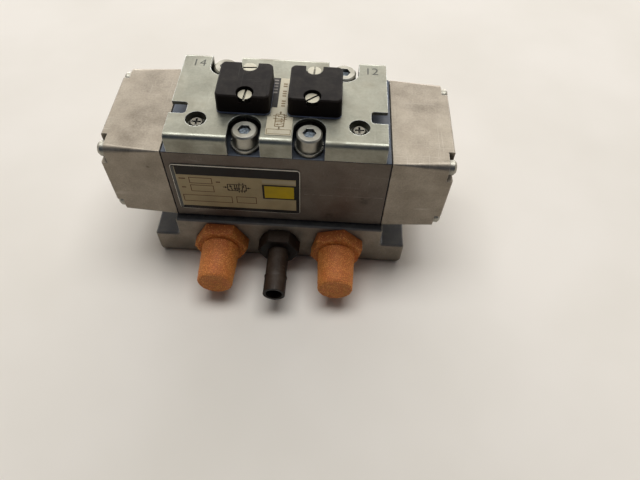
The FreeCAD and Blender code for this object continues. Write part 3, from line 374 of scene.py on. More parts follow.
finishes = {
    "base_casting": {  # the sub-base
        "dark": display(128, 119, 106), "light": display(166, 156, 141), "metallic": 0.7,
        "roughness": (0.42, 0.62), "grainScale": 1500.0, "grainDepth": 0.05,
        "edgeRadius": 0.6, "edgeColour": display(176, 170, 160),
        # painted shade: the sub-base's upward faces are painted a dark blue-grey
        "paintedTopColour": display(72, 80, 90), "paintedTopShare": 0.75,
    },
    "body_casting": {  # the valve body, darker and more even
        "dark": display(86, 77, 70), "light": display(113, 104, 94), "metallic": 0.75,
        "roughness": (0.4, 0.58), "grainScale": 1300.0, "grainDepth": 0.035, "scratches": 0.1,
        "edgeRadius": 0.4, "edgeColour": display(150, 148, 142),
        # painted shade: the body's upward faces are painted a dark blue-grey
        "paintedTopColour": display(60, 70, 84), "paintedTopShare": 0.85,
    },
    "cap_casting": {  # the two end caps
        "dark": display(120, 111, 99), "light": display(158, 149, 135), "metallic": 0.85,
        "roughness": (0.34, 0.5), "grainScale": 1100.0,
        # painted highlight, partly real wear: the caps' edges are a near-white silver
        "edgeRadius": 0.5, "edgeColour": display(222, 219, 212),
        "smudgeColour": display(120, 108, 92), "smudges": 0.25,
    },
    "turned_aluminium": {  # the spool
        "dark": display(196, 196, 196), "light": display(220, 220, 220), "metallic": 1.0,
        "roughness": (0.22, 0.36), "grainScale": 2400.0, "grainDepth": 0.006, "edgeRadius": 0.2,
    },
    "brass_sleeve": {
        "dark": display(196, 160, 92), "light": display(222, 188, 118), "metallic": 1.0,
        "roughness": (0.26, 0.4), "grainScale": 2200.0, "grainDepth": 0.008, "edgeRadius": 0.2,
    },
    "zinc_sheet": {  # the cover plate
        "dark": display(128, 128, 117), "light": display(149, 149, 137), "metallic": 1.0,
        "roughness": (0.3, 0.4), "grainScale": 900.0, "grainDepth": 0.008,
        # painted highlight, partly real wear: the plate's edges are a bluish white
        "edgeRadius": 0.5, "edgeColour": display(222, 228, 232), "edgeShare": 0.7,
        "scratches": 0.12, "scratchColour": display(200, 198, 188),
        "smudgeColour": display(104, 96, 80), "smudges": 0.45, "dirtAndShade": 0.6, "dirtAndShadeReach": 1.6,
    },
    "zinc_screws": {
        "dark": display(140, 137, 126), "light": display(176, 173, 162), "metallic": 1.0,
        "roughness": (0.3, 0.48), "grainScale": 2600.0, "grainDepth": 0.008,
        # painted highlight, partly real wear: screw and washer edges are a bluish white
        "edgeRadius": 0.25, "edgeColour": display(228, 232, 234), "edgeShare": 0.7, "dirtAndShade": 0.9,
    },
    "black_plastic": {  # the pilot covers
        "dark": display(24, 19, 17), "light": display(29, 24, 22), "specular": 0.07,
        "roughness": (0.48, 0.58), "grainScale": 2600.0, "grainDepth": 0.012,
        "edgeRadius": 0.5, "edgeColour": display(60, 58, 62), "edgeShare": 0.4,
        "dust": 0.06, "scratches": 0.03, "smudges": 0.1, "smudgeColour": display(18, 16, 16),
    },
    "barb_plastic": {
        "dark": display(11, 8, 6), "light": display(34, 24, 17), "specular": 0.2,
        "roughness": (0.4, 0.56), "grainScale": 2000.0, "grainDepth": 0.02,
        "edgeRadius": 0.4, "edgeColour": display(46, 42, 38), "edgeShare": 0.3,
        # painted reflection: the barb's upward faces are painted a lighter brown than its hex and front
        "dust": 0.08, "scratches": 0.1, "paintedTopColour": display(72, 52, 38), "paintedTopShare": 0.35,
    },
    "piston_plastic": {
        "dark": display(214, 210, 200), "light": display(230, 227, 218),
        "roughness": (0.4, 0.5), "grainScale": 2000.0, "grainDepth": 0.01,
    },
    "cage_plastic": {
        "dark": display(112, 112, 116), "light": display(132, 132, 136),
        "roughness": (0.45, 0.58), "grainScale": 2000.0, "grainDepth": 0.012,
    },
    "seal_rubber": {
        "dark": display(30, 30, 30), "light": display(42, 42, 42),
        "roughness": (0.6, 0.78), "grainScale": 2200.0, "grainDepth": 0.015, "edgeShare": 0.1,
    },
    "gasket_fibre": {
        "dark": display(28, 28, 30), "light": display(48, 47, 46),
        "roughness": (0.75, 0.9), "grainScale": 3000.0, "edgeShare": 0.1,
    },
    "pilot_gasket": {  # the blue-grey ones below the pilot covers
        "dark": display(104, 116, 150), "light": display(146, 158, 190),
        "roughness": (0.5, 0.7), "grainScale": 2600.0, "grainDepth": 0.02, "edgeShare": 0.2, "dirtAndShade": 0.4,
    },
    "sintered_bronze": {  # the silencers
        "dark": display(250, 156, 76), "light": display(255, 198, 106), "metallic": 0.1,
        "roughness": (0.5, 0.7), "grainScale": 1500.0, "edgeShare": 0.0, "edgeRadius": 0.1,
    },
    "nameplate_metal": {
        "dark": display(176, 172, 160), "light": display(208, 204, 194), "metallic": 0.8,
        "roughness": (0.3, 0.45), "grainScale": 1800.0, "grainDepth": 0.006, "edgeRadius": 0.25,
    },
    "label_film": {
        "dark": display(188, 176, 148), "light": display(206, 196, 170),
        "roughness": (0.4, 0.55), "grainScale": 1200.0, "grainDepth": 0.006,
        "edgeRadius": 0.15, "edgeShare": 0.2,
    },
}
materials = {slotName: makeFinish(slotName, look) for slotName, look in finishes.items()}

# Screws that sit deep get painted shade, as darker copies of the zinc finish: in the recesses of the
# pilot covers, and in the plate's pressed cups
shadedRecessFinish = makeFinish("zincShadedInRecess", {
    **finishes["zinc_screws"], "dark": display(16, 15, 14), "light": display(30, 28, 26),
    # painted shade: the head's sides are painted near black, and only its top keeps the zinc colour
    "edgeShare": 0.2, "paintedTopColour": display(166, 162, 147), "paintedTopShare": 1.0,
})
shadedCupFinish = makeFinish("zincShadedInCup", {
    **finishes["zinc_screws"], "dark": display(104, 100, 90), "light": display(136, 132, 121),
    "roughness": (0.4, 0.56),
})
shadedDeepFinishes = {
    "left_pilot_cover_screws": shadedRecessFinish, "right_pilot_cover_screws": shadedRecessFinish,
    "cover_plate_screws": shadedCupFinish,
}
for node, slotName in slotNames.items():
    surfaces = nodes[node].data.materials
    surfaces.clear()
    surfaces.append(shadedDeepFinishes.get(node, materials[slotName]))
print("finishes given to", len(slotNames), "nodes")


# Marks of single pieces, on their front faces

markLook = {
    "frontLevel": -30.0,  # marks show only in front of this y
    "stainColour": display(40, 32, 26), "stainShare": 0.6,
    "scratchColour": display(168, 158, 146), "scratchShare": 0.35,
    "patches": (420.0, 4.0, 0.6), "patchEdges": (0.35, 0.6),
    "pieces": {
        "valve_body": {
            "stains": ((46.0, 53.0, 5.5), (28.0, 38.5, 6.0)),  # x, z and radius
            "scratches": ((14.0, 56.5, 55.4, 0.4),),  # from x, to x, z and width
        },
        "left_end_cap": {"stains": ((-66.6, 70.3, 1.2),), "scratches": ()},
    },
}


def stainMask(tree, flat, x, z, radius):
    away = calculateVector(tree, "DISTANCE", flat, (x * mm, 0.0, z * mm), "Value")
    return spread(tree, away, radius * mm, 0.0)


def scratchMask(tree, flat, start, end, z, width):
    middle = ((start + end) / 2 * mm, 0.0, z * mm)
    offset = split(tree, calculateVector(tree, "SUBTRACT", flat, middle))
    along = calculate(tree, "ABSOLUTE", offset["X"])
    inRun = calculate(tree, "LESS_THAN", along, (end - start) / 2 * mm)
    onLine = spread(tree, calculate(tree, "ABSOLUTE", offset["Z"]), width * mm, 0.0)
    return times(tree, inRun, onLine)


def markPiece(node, marks, look):
    material = makeFinish(node + "Marked", finishes[slotNames[node]])
    tree = material.node_tree
    base = tree.nodes["Principled BSDF"].inputs["Base Color"]
    colour = base.links[0].from_socket
    place = objectPlace(tree)
    ways = split(tree, place)
    flat = put(tree, "ShaderNodeCombineXYZ", {"X": ways["X"], "Z": ways["Z"]}).outputs[0]
    front = calculate(tree, "LESS_THAN", ways["Y"], look["frontLevel"] * mm)
    broken = patches(tree, place, look["patches"], look["patchEdges"])
    layers = [(stainMask(tree, flat, *stain), "stain") for stain in marks["stains"]]
    layers += [(scratchMask(tree, flat, *scratch), "scratch") for scratch in marks["scratches"]]
    for mask, kind in layers:
        strength = times(tree, broken, look[kind + "Share"])
        share = times(tree, times(tree, mask, front), strength)
        colour = blendColour(tree, share, colour, look[kind + "Colour"])
    join(tree, base, colour)
    nodes[node].data.materials[0] = material


for node, marks in markLook["pieces"].items():
    markPiece(node, marks, markLook)
print("single pieces marked")


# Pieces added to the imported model, and the geometry trees that make them

def addPiece(name, mesh, slotName, *surfaces):  # surfaces: none where the mesh has its own
    for surface in surfaces:
        mesh.materials.append(surface)
    piece = addObject(name, mesh)
    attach(piece, "valve")
    return piece


def newMaker(name, **sizes):  # a geometry tree with named inputs for a mesh, its sizes and its finish
    inputs = {"Geometry": "Geometry", **sizes, "Finish": "Material"}
    return newGroup(name, "GeometryNodeTree", inputs, {"Geometry": "Geometry"})


def randomNumber(tree, low, high, seed):
    words = {2: low, 3: high, "Seed": seed}
    return put(tree, "FunctionNodeRandomValue", words, data_type="FLOAT").outputs[1]


def realize(tree, geometry):
    return put(tree, "GeometryNodeRealizeInstances", {0: geometry}).outputs[0]


def finishTree(tree, result, geometry, finish):
    words = {"Geometry": geometry, "Material": finish}
    join(tree, result["Geometry"], put(tree, "GeometryNodeSetMaterial", words).outputs[0])


def treeMesh(source, tree, values):  # the plain mesh that a tree makes of a source mesh
    holder = addObject("holder", source)
    maker = holder.modifiers.new("maker", "NODES")
    maker.node_group = tree
    for item in tree.interface.items_tree:
        if item.in_out == "INPUT" and item.name in values:
            maker[item.identifier] = values[item.name]
    mesh = plainMesh(holder)
    holder.modifiers.remove(maker)
    bpy.data.objects.remove(holder)
    return mesh


# Silencers: bronze grains sintered together over the solid's own shape

silencerLook = {
    "spacing": 0.7, "radius": 0.44, "sink": 0.2,
    "clear": 0.05,  # grains lie only in front of the sub-base, from this far on
    "density": 9.0e6,  # per square metre, before the spacing thins them out
    "roundness": 1,  # how often a grain's ball is subdivided
    "sizes": (0.72, 1.18),  # of the smallest and the largest grain, as shares of the radius
    "fullTurn": 6.28,  # in radians
    "seed": 4, "sizeSeed": 7, "turnSeed": 11, "toneSeed": 23,
    "mergeWithin": 0.002,  # corners of the solid's loose triangles that are one
    "finish": {
        # dirt and painted shade: dark brown in the pits between the grains
        "grainScale": 5200.0, "dirtAndShadeReach": 0.5, "dirtAndShade": 0.36, "dirtAndShadeColour": display(110, 56, 26),
        # painted shade: the grains' upward faces are painted darker than their sides
        "dust": 0.0, "paintedTopColour": display(188, 108, 54), "paintedTopShare": 0.6,
    },
    "darkTint": display(204, 170, 138), "paleTint": (1.0, 1.0, 1.0, 1.0),
    "tintEdges": (0.0, 0.6),
}


def makeGrainTree(look):
    tree, given, result = newMaker(
        "sinteredGrains", Spacing="Float", Radius="Float", Sink="Float", Front="Float", Seed="Int",
    )
    depth = split(tree, put(tree, "GeometryNodeInputPosition").outputs[0])["Y"]
    words = {0: depth, 1: given["Front"]}
    outside = put(tree, "FunctionNodeCompare", words, data_type="FLOAT", operation="LESS_THAN").outputs[0]
    spots = put(tree, "GeometryNodeDistributePointsOnFaces", {
        "Mesh": given["Geometry"], "Selection": outside, "Distance Min": given["Spacing"],
        "Density Max": look["density"], "Seed": given["Seed"],
    }, distribute_method="POISSON").outputs
    words = {0: spots["Normal"], "Scale": times(tree, given["Sink"], -1.0)}
    inward = put(tree, "ShaderNodeVectorMath", words, operation="SCALE").outputs[0]
    words = {"Geometry": spots["Points"], "Offset": inward}
    sunk = put(tree, "GeometryNodeSetPosition", words).outputs[0]
    words = {"Radius": given["Radius"], "Subdivisions": look["roundness"]}
    ball = put(tree, "GeometryNodeMeshIcoSphere", words).outputs["Mesh"]
    words = {0: (0.0, 0.0, 0.0), 1: (look["fullTurn"],) * 3, "Seed": look["turnSeed"]}
    turn = put(tree, "FunctionNodeRandomValue", words, data_type="FLOAT_VECTOR").outputs[0]
    size = randomNumber(tree, *look["sizes"], look["sizeSeed"])
    tone = randomNumber(tree, 0.0, 1.0, look["toneSeed"])
    words = {"Points": sunk, "Instance": ball, "Rotation": turn, "Scale": size}
    grains = put(tree, "GeometryNodeInstanceOnPoints", words).outputs[0]
    words = {"Geometry": grains, "Name": "grainTone", "Value": tone}
    toned = put(tree, "GeometryNodeStoreNamedAttribute", words, data_type="FLOAT", domain="INSTANCE")
    words = {"Geometry": realize(tree, toned.outputs[0]), "Shade Smooth": True}
    smooth = put(tree, "GeometryNodeSetShadeSmooth", words).outputs[0]
    whole = put(tree, "GeometryNodeJoinGeometry")
    for geometry in (smooth, given["Geometry"]):
        tree.links.new(geometry, whole.inputs[0])
    finishTree(tree, result, whole.outputs[0], given["Finish"])
    return tree


def makeBronze(look):  # each grain takes a tone of its own, and the pits between them stay dark with dirt and painted shade
    material = makeFinish("sinteredGrains", {**finishes["sintered_bronze"], **look["finish"]})
    tree = material.node_tree
    base = tree.nodes["Principled BSDF"].inputs["Base Color"]
    colour = base.links[0].from_socket
    tone = put(tree, "ShaderNodeAttribute", attribute_name="grainTone").outputs["Fac"]
    tint = blendColour(tree, spread(tree, tone, *look["tintEdges"]), look["darkTint"], look["paleTint"])
    join(tree, base, blendColour(tree, 1.0, colour, tint, "MULTIPLY"))
    return material


def mergedCopy(node, within):
    mesh = bpy.data.meshes.new(node + "_copy")
    work = bmesh.new()
    work.from_mesh(nodes[node].data)
    bmesh.ops.remove_doubles(work, verts=work.verts, dist=within * mm)
    work.to_mesh(mesh)
    work.free()
    return mesh


def grainSilencers(look):
    tree = makeGrainTree(look)
    bronze = makeBronze(look)
    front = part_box("sub_base")[0].y - look["clear"] * mm
    for side in ("left", "right"):
        node = side + "_silencer"
        mesh = treeMesh(mergedCopy(node, look["mergeWithin"]), tree, {
            "Spacing": look["spacing"] * mm, "Radius": look["radius"] * mm, "Sink": look["sink"] * mm,
            "Front": front, "Seed": look["seed"], "Finish": bronze,
        })
        piece = addPiece(node + "_grains", mesh, "sintered_bronze")
        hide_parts(node)
        print(side, "silencer grained,", len(mesh.polygons), "faces")


grainSilencers(silencerLook)


# Threads of the open ports, one helix with a triangular crest for each
# Places and radii come from the frame's mounts; reach is from a mount's point out to the first turn

threadLook = {
    "main": {"pitch": 1.814, "turns": 7.5, "crest": 0.88, "reach": 5.25},
    "pilot": {"pitch": 1.337, "turns": 6.5, "crest": 0.64, "reach": 2.25},
    "pointsPerTurn": 40,
    "crestCorners": 3,
}


def makeThreadTree(look):
    tree, given, result = newMaker(
        "portThread", Radius="Float", Pitch="Float", Turns="Float", Crest="Float",
        Place="Vector", Turn="Vector",
    )
    helix = put(tree, "GeometryNodeCurveSpiral", {
        "Resolution": look["pointsPerTurn"], "Rotations": given["Turns"],
        "Start Radius": given["Radius"], "End Radius": given["Radius"],
        "Height": times(tree, given["Pitch"], given["Turns"]),
    }).outputs[0]
    upright = put(tree, "GeometryNodeSetCurveNormal", {"Curve": helix}, mode="Z_UP").outputs[0]
    words = {"Resolution": look["crestCorners"], "Radius": given["Crest"]}
    crest = put(tree, "GeometryNodeCurvePrimitiveCircle", words).outputs[0]
    words = {"Curve": upright, "Profile Curve": crest, "Fill Caps": True}
    thread = put(tree, "GeometryNodeCurveToMesh", words).outputs[0]
    words = {"Geometry": thread, "Translation": given["Place"], "Rotation": given["Turn"]}
    placed = put(tree, "GeometryNodeTransform", words).outputs[0]
    finishTree(tree, result, realize(tree, placed), given["Finish"])
    return tree


def makeThreads(look):
    tree = makeThreadTree(look)
    whole = bmesh.new()
    for mount in frame["record"]["mounts"]:
        if mount["kind"] != "threaded_hole":
            continue
        sizes = look["pilot" if mount["name"].startswith("pilot") else "main"]
        outward = Vector(mount["axis"])
        start = Vector(mount["pos_m"]) + outward * sizes["reach"] * mm
        inwardTurn = (outward.y * quarterTurn, -outward.x * quarterTurn, 0.0)
        whole.from_mesh(treeMesh(bpy.data.meshes.new("thread"), tree, {
            "Radius": mount["dims"]["r_mm"] * mm, "Pitch": sizes["pitch"] * mm, "Turns": sizes["turns"],
            "Crest": sizes["crest"] * mm, "Place": start, "Turn": inwardTurn,
            "Finish": materials["base_casting"],
        }))
    bmesh.ops.recalc_face_normals(whole, faces=whole.faces)
    mesh = bpy.data.meshes.new("port_threads")
    whole.to_mesh(mesh)
    whole.free()
    addPiece("port_threads", mesh, "base_casting", materials["base_casting"])
    print("port threads cut,", len(mesh.polygons), "faces")


makeThreads(threadLook)


# Inks: each has its own colour and the colour that it wears down to

inkLook = {
    "roughness": (0.4, 0.6), "specular": 0.2, "grainScale": 900.0, "grainDepth": 0.004,
    "edgeRadius": 0.02, "edgeShare": 0.0, "scratches": 0.3, "dirtAndShade": 0.3, "smudges": 0.2,
}
inkWorn = 0.2  # share of the worn colour in an ink's lighter patches
inkColours = {
    "black": (display(16, 12, 10), display(62, 56, 48)),
    "tan": (display(178, 160, 122), display(196, 180, 144)),
    "line": (display(92, 60, 40), display(120, 92, 68)),
    "pale": (display(184, 172, 142), display(196, 186, 160)),
    "yellow": (display(208, 176, 16), display(196, 172, 60)),
    "brown": (display(124, 100, 64), display(170, 150, 116)),
    "rim": (display(92, 94, 92), display(140, 138, 130)),
    "grey": (display(132, 124, 116), display(150, 142, 132)),
    "stamp": (display(70, 70, 64), display(110, 110, 100)),
}


def makeInk(word, colour, wornColour):
    lighter = tuple((1 - inkWorn) * new + inkWorn * worn for new, worn in zip(colour, wornColour))
    own = {"dark": colour, "light": lighter, "scratchColour": wornColour}
    return makeFinish("ink" + word.capitalize(), {**inkLook, **own})


inks = {word: makeInk(word, *colours) for word, colours in inkColours.items()}


# Prints: thin closed prisms on a face, in layers, measured from the face's left low corner

printLook = {
    "thickness": 0.03,  # of one layer
    "cornerSteps": 4,
    "arrowLength": 3.5, "arrowHalf": 1.6,  # of an arrow's head, in widths of its line
}


def newSheet(node, facing, inkWords):
    low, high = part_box(node)
    sheet = {"work": bmesh.new(), "inks": inkWords}
    if facing == "front":
        sheet["corner"] = Vector((low.x, low.y, low.z))
        sheet["up"], sheet["out"] = Vector((0, 0, 1)), Vector((0, -1, 0))
    else:
        sheet["corner"] = Vector((low.x, low.y, high.z))
        sheet["up"], sheet["out"] = Vector((0, 1, 0)), Vector((0, 0, 1))
    return sheet


def printShape(sheet, outline, ink, layer=0):
    work, count = sheet["work"], len(outline)
    rings = []
    for level in (layer, layer + 1):
        lift = sheet["out"] * level * printLook["thickness"]
        places = (Vector((across, 0, 0)) + sheet["up"] * up + lift for across, up in outline)
        rings.append([work.verts.new(sheet["corner"] + place * mm) for place in places])
    low, high = rings
    faces = [work.faces.new(reversed(low)), work.faces.new(high)]
    for this in range(count):
        after = (this + 1) % count
        faces.append(work.faces.new((low[this], low[after], high[after], high[this])))
    for face in faces:
        face.material_index = sheet["inks"].index(ink)


def printPatch(sheet, left, low, right, high, ink, layer=0):
    printShape(sheet, [(left, low), (right, low), (right, high), (left, high)], ink, layer)


def printRounded(sheet, left, low, right, high, corner, ink, layer=0):
    steps = printLook["cornerSteps"]
    near, far, below, above = left + corner, right - corner, low + corner, high - corner
    outline = []
    for quarter, (x, y) in enumerate(((far, below), (far, above), (near, above), (near, below))):
        for step in range(steps + 1):
            angle = quarterTurn * (quarter - 1 + step / steps)
            outline.append((x + corner * math.cos(angle), y + corner * math.sin(angle)))
    printShape(sheet, outline, ink, layer)


def printBar(sheet, start, end, width, ink, layer=0):
    start, end = Vector(start), Vector(end)
    run = end - start
    side = Vector((-run.y, run.x)).normalized() * (width / 2)
    printShape(sheet, (start - side, end - side, end + side, start + side), ink, layer)


def printBox(sheet, left, low, right, high, width, ink, layer=0):
    half = width / 2
    for x in (left, right):
        printPatch(sheet, x - half, low - half, x + half, high + half, ink, layer)
    for y in (low, high):
        printPatch(sheet, left + half, y - half, right - half, y + half, ink, layer)


def printArrow(sheet, start, end, width, ink, layer=0):
    start, end = Vector(start), Vector(end)
    run = (end - start).normalized() * width
    neck = end - run * printLook["arrowLength"]
    side = Vector((-run.y, run.x)) * printLook["arrowHalf"]
    printBar(sheet, start, neck, width, ink, layer)
    printShape(sheet, (neck - side, end, neck + side), ink, layer)


def finishSheet(sheet, name, slotName):
    work = sheet["work"]
    bmesh.ops.recalc_face_normals(work, faces=work.faces)
    mesh = bpy.data.meshes.new(name)
    work.to_mesh(mesh)
    work.free()
    addPiece(name, mesh, slotName, *(inks[word] for word in sheet["inks"]))


# A plain flow symbol with five ports, two positions and an air pilot at each end, in units of its size

symbolLook = {
    "walls": (-1.0, 0.0, 1.0), "half": 0.5,
    "flows": (  # from x, y to x, y
        (-0.5, -0.5, -0.75, 0.45), (-0.25, 0.5, -0.2, -0.45),
        (0.5, -0.5, 0.75, 0.45), (0.25, 0.5, 0.2, -0.45),
    ),
    "blocked": (-0.88, 0.86), "blockedEnd": -0.3,
    "lowPorts": (0.2, 0.5, 0.8), "highPorts": (0.3, 0.7), "portEnd": 0.8,
    "pilotEnd": 1.5, "pilotTip": 1.05, "pilotFoot": 1.3, "pilotHalf": 0.16,
}


def printSymbol(sheet, middle, size, width, ink, layer=0, sideways=False):
    look = symbolLook

    def turned(x, y):
        if sideways:
            return middle[0] - y * size, middle[1] + x * size
        return middle[0] + x * size, middle[1] + y * size

    half, wall = look["half"], look["walls"][-1]
    bars = [(x, -half, x, half) for x in look["walls"]]
    bars += [(-wall, y, wall, y) for y in (-half, half)]
    bars += [(x, -half, x, look["blockedEnd"]) for x in look["blocked"]]
    bars += [(x, -half, x, -look["portEnd"]) for x in look["lowPorts"]]
    bars += [(x, half, x, look["portEnd"]) for x in look["highPorts"]]
    bars += [(side * wall, 0.0, side * look["pilotEnd"], 0.0) for side in (-1, 1)]
    for startX, startY, endX, endY in bars:
        printBar(sheet, turned(startX, startY), turned(endX, endY), width, ink, layer)
    for startX, startY, endX, endY in look["flows"]:
        printArrow(sheet, turned(startX, startY), turned(endX, endY), width, ink, layer)
    for side in (-1, 1):
        foot, wide = side * look["pilotFoot"], look["pilotHalf"]
        corners = (turned(foot, -wide), turned(side * look["pilotTip"], 0.0), turned(foot, wide))
        printShape(sheet, corners, ink, layer)


# Nameplate: a bare black header, empty boxes, dashes, a plain flow symbol and a yellow field

nameplateLook = {
    "inks": ("black", "tan", "line", "pale", "yellow", "rim"),
    "ground": (0.3, 0.3, 66.6, 34.8), "corner": 1.2,
    "fields": (  # ink, layer, then left, low, right and high
        ("rim", 1, (0.5, 1.0, 1.9, 34.1)), ("pale", 1, (1.9, 2.4, 2.25, 34.3)),
        ("tan", 1, (2.25, 2.8, 64.8, 28.1)), ("pale", 2, (47.0, 24.7, 64.6, 27.3)),
        ("black", 2, (46.8, 11.9, 64.8, 23.5)), ("yellow", 3, (47.9, 12.9, 63.7, 22.4)),
    ),
    "boxes": (
        (8.6, 21.8, 20.4, 26.1), (8.6, 15.3, 20.7, 20.2), (3.4, 6.8, 29.8, 11.9), (32.4, 7.2, 43.0, 12.3),
    ),
    "dashes": ((3.2, 24.7, 3.4), (3.8, 17.7, 2.2), (22.6, 23.1, 2.2)),  # left, low and length
    "line": 0.42, "dash": 0.84,
    "symbolMiddle": (33.3, 19.8), "symbolSize": 4.9, "symbolLine": 0.5,
    "lineLayer": 2,  # of boxes, dashes and symbol, above the fields that they stand on
}


def printNameplate(look):
    sheet = newSheet("nameplate", "front", look["inks"])
    printRounded(sheet, *look["ground"], look["corner"], "black")
    for ink, layer, sides in look["fields"]:
        printPatch(sheet, *sides, ink, layer)
    above = look["lineLayer"]
    for sides in look["boxes"]:
        printBox(sheet, *sides, look["line"], "line", above)
    for left, low, length in look["dashes"]:
        printPatch(sheet, left, low, left + length, low + look["dash"], "line", above)
    printSymbol(sheet, look["symbolMiddle"], look["symbolSize"], look["symbolLine"], "black", above)
    finishSheet(sheet, "nameplate_print", "nameplate_metal")


# Plate label: bars on a dark strip, dashes, an empty box and a plain flow symbol at the wide end

labelLook = {
    "inks": ("black", "brown", "grey"),
    "strip": (0.1, 19.6, 4.3, 42.6),
    "bars": (30.4, 32.8, 35.2, 37.6, 40.0), "barSides": (1.1, 3.3), "bar": 1.2,
    "dashes": (20.6, 22.4, 24.2, 28.2, 30.0, 31.8, 35.8, 37.6), "dashSides": (6.1, 8.1), "dash": 0.9,
    "box": (0.6, 0.8, 12.2, 4.0), "boxLine": 0.3,
    "symbolMiddle": (6.4, 10.4), "symbolSize": 4.4, "symbolLine": 0.42,
}


def printLabel(look):
    sheet = newSheet("plate_label", "top", look["inks"])
    printPatch(sheet, *look["strip"], "black")
    for low in look["bars"]:
        left, right = look["barSides"]
        printPatch(sheet, left, low, right, low + look["bar"], "grey", 1)
    for low in look["dashes"]:
        left, right = look["dashSides"]
        printPatch(sheet, left, low, right, low + look["dash"], "brown")
    printBox(sheet, *look["box"], look["boxLine"], "brown")
    middle, size, line = look["symbolMiddle"], look["symbolSize"], look["symbolLine"]
    printSymbol(sheet, middle, size, line, "brown", sideways=True)
    finishSheet(sheet, "label_print", "label_film")


# Port numbers stamped on the cover plate

stampLook = {
    "places": {"14": (-46.3, 24.1), "12": (46.7, 24.2)},  # x and y of each number's middle
    "size": 7.9, "depth": 0.03,
    "weight": -0.05,  # thinner strokes than the font's own
}


def stampNumbers(look):
    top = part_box("cover_plate")[1].z
    lift = look["depth"] * mm / 2
    for word, (x, y) in look["places"].items():
        text = bpy.data.curves.new("stamp", "FONT")
        text.body = word
        text.size = look["size"] * mm
        text.align_x = "CENTER"
        text.align_y = "CENTER"
        text.extrude = lift
        text.offset = look["weight"] * mm
        holder = addObject("stamp", text)
        mesh = plainMesh(holder)
        bpy.data.objects.remove(holder)
        mesh.transform(Matrix.Translation((x * mm, y * mm, top + lift)))
        addPiece("stamped_number_" + word, mesh, "zinc_sheet", inks["stamp"])


printNameplate(nameplateLook)
printLabel(labelLook)
stampNumbers(stampLook)
print("nameplate and label printed, numbers stamped")


# Grime caked in the mounting screws' sockets

grimeLook = {
    "headRadius": 6.5, "sunk": 2.4,  # from the rim of a screw's head to its middle, and down to the grime
    "radius": 3.1, "depth": 1.2, "rough": 1.4,
    "rimPoints": 24, "rings": 5,
    "lumps": {"Scale": 700.0, "Detail": 3.0}, "lumpMiddle": 0.5,
    "finish": {
        "dark": display(44, 50, 58), "light": display(128, 138, 146), "metallic": 0.7,
        "roughness": (0.3, 0.6), "grainScale": 700.0, "grainDepth": 0.1, "edgeShare": 0.0, "dirtAndShade": 0.3,
    },
}


def makeGrimeTree(look):
    tree, given, result = newMaker("socketGrime", Radius="Float", Depth="Float", Rough="Float")
    plug = put(tree, "GeometryNodeMeshCylinder", {
        "Vertices": look["rimPoints"], "Side Segments": 1, "Fill Segments": look["rings"],
        "Radius": given["Radius"], "Depth": given["Depth"],
    }).outputs["Mesh"]
    spots = put(tree, "GeometryNodeMeshToPoints", {"Mesh": given["Geometry"]}).outputs[0]
    copies = put(tree, "GeometryNodeInstanceOnPoints", {"Points": spots, "Instance": plug}).outputs[0]
    lumps = put(tree, "ShaderNodeTexNoise", look["lumps"]).outputs[0]
    lift = times(tree, calculate(tree, "SUBTRACT", lumps, look["lumpMiddle"]), given["Rough"])
    offset = put(tree, "ShaderNodeCombineXYZ", {"Z": lift}).outputs[0]
    words = {"Geometry": realize(tree, copies), "Offset": offset}
    uneven = put(tree, "GeometryNodeSetPosition", words).outputs[0]
    finishTree(tree, result, uneven, given["Finish"])
    return tree


def makeGrime(look):
    places = []
    for node in ("front_mounting_screws", "rear_mounting_screws"):
        low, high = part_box(node)
        inset = look["headRadius"] * mm
        for x in (low.x + inset, high.x - inset):
            places.append((x, (low.y + high.y) / 2, high.z - look["sunk"] * mm))
    sockets = bpy.data.meshes.new("sockets")
    sockets.from_pydata(places, [], [])
    mesh = treeMesh(sockets, makeGrimeTree(look), {
        "Radius": look["radius"] * mm, "Depth": look["depth"] * mm, "Rough": look["rough"] * mm,
        "Finish": makeFinish("socketGrime", look["finish"]),
    })
    addPiece("socket_grime", mesh, "zinc_screws")
    print("socket grime laid,", len(mesh.polygons), "faces")


makeGrime(grimeLook)


# Floor, lamps and world

stageLook = {
    "floorHalf": 1500.0, "floorGap": 0.02, "floorRoughness": 0.7, "floorSpecular": 0.1,
    "floorColours": (display(230, 222, 211), display(236, 228, 218)),
    "floorPatches": (9.0, 3.0, 0.5), "floorEdges": (0.35, 0.65),
    "floorShade": 0.85,  # how bright the floor is in the light that it sends back
    "roomLight": 0.33,  # how bright the world is as a light, next to how it looks
    "backdrop": display(238, 232, 222), "frontAir": (0.06, 0.08, 0.12, 1.0), "airEdges": (-0.5, 0.15),
    "lampTarget": (0.0, 0.0, 40.0),
    "lamps": {
        "softbox": {
            "place": (-100.0, 1560.0, 1560.0), "size": (2600.0, 1800.0),
            "power": 3.0, "colour": (1.0, 1.0, 1.0),
        },
        "window": {
            "place": (0.0, 3600.0, 900.0), "size": (8000.0, 1300.0),
            "power": 190.0, "colour": (1.0, 1.0, 1.0),
        },
        "overhead": {
            "place": (-50.0, 430.0, 2000.0), "size": (2000.0, 700.0),
            "power": 29.5, "colour": (0.95, 0.98, 1.0),
        },
    },
}


def seenDirectly(tree, rays):  # one for what the camera sees, also in mirrors and glass, else nothing
    mirrored = larger(tree, rays["Is Glossy Ray"], rays["Is Transmission Ray"])
    return larger(tree, rays["Is Camera Ray"], mirrored)


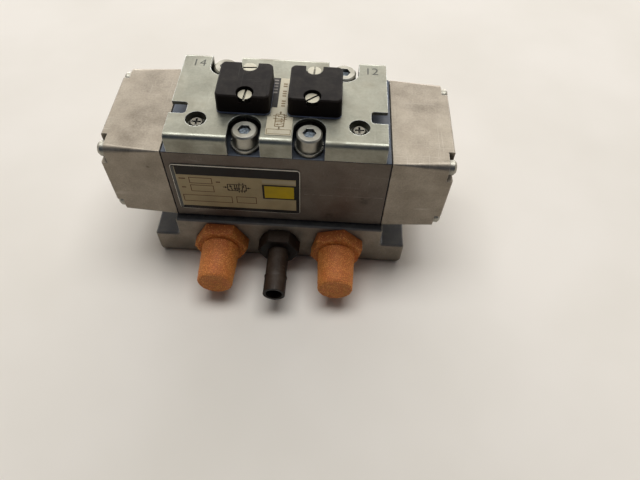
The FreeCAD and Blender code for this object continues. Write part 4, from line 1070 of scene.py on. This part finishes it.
def makeFloor(look):
    half = look["floorHalf"] * mm
    level = cadLow.z - look["floorGap"] * mm
    mesh = bpy.data.meshes.new("floor")
    corners = [(x * half, y * half, level) for x, y in ((-1, -1), (1, -1), (1, 1), (-1, 1))]
    mesh.from_pydata(corners, [], [(0, 1, 2, 3)])
    material = bpy.data.materials.new("floor")
    material.use_nodes = True
    tree = material.node_tree
    shader = tree.nodes["Principled BSDF"].inputs
    shader["Roughness"].default_value = look["floorRoughness"]
    shader["Specular IOR Level"].default_value = look["floorSpecular"]
    share = patches(tree, objectPlace(tree), look["floorPatches"], look["floorEdges"])
    pale = blendColour(tree, share, *look["floorColours"])
    shaded = blendColour(tree, 1.0, pale, (look["floorShade"],) * 3 + (1.0,), "MULTIPLY")
    seen = seenDirectly(tree, put(tree, "ShaderNodeLightPath").outputs)
    join(tree, shader["Base Color"], blendColour(tree, seen, shaded, pale))
    mesh.materials.append(material)
    addObject("floor", mesh)


def makeLamp(name, look, target):
    lamp = bpy.data.lights.new(name, "AREA")
    lamp.shape = "RECTANGLE"
    lamp.size, lamp.size_y = (value * mm for value in look["size"])
    lamp.energy = look["power"]
    lamp.color = look["colour"]
    holder = addObject(name, lamp)
    holder.location = Vector(look["place"]) * mm
    holder.rotation_mode = "QUATERNION"
    holder.rotation_quaternion = (Vector(target) * mm - holder.location).to_track_quat("-Z", "Y")


def makeWorld(look):
    world = bpy.data.worlds.new("room")
    bpy.context.scene.world = world
    world.use_nodes = True
    tree = world.node_tree
    tree.nodes.clear()
    rays = put(tree, "ShaderNodeLightPath").outputs
    extra = times(tree, seenDirectly(tree, rays), 1.0 - look["roomLight"])
    strength = plus(tree, extra, look["roomLight"])
    toward = split(tree, put(tree, "ShaderNodeTexCoord").outputs["Generated"])["Y"]
    behind = larger(tree, spread(tree, toward, *look["airEdges"]), rays["Is Camera Ray"])
    colour = blendColour(tree, behind, look["frontAir"], look["backdrop"])
    air = put(tree, "ShaderNodeBackground", {"Color": colour, "Strength": strength})
    put(tree, "ShaderNodeOutputWorld", {"Surface": air.outputs[0]})


makeFloor(stageLook)
for name, look in stageLook["lamps"].items():
    makeLamp(name, look, stageLook["lampTarget"])
makeWorld(stageLook)
bpy.context.scene.view_settings.view_transform = "Standard"
print("stage lit")
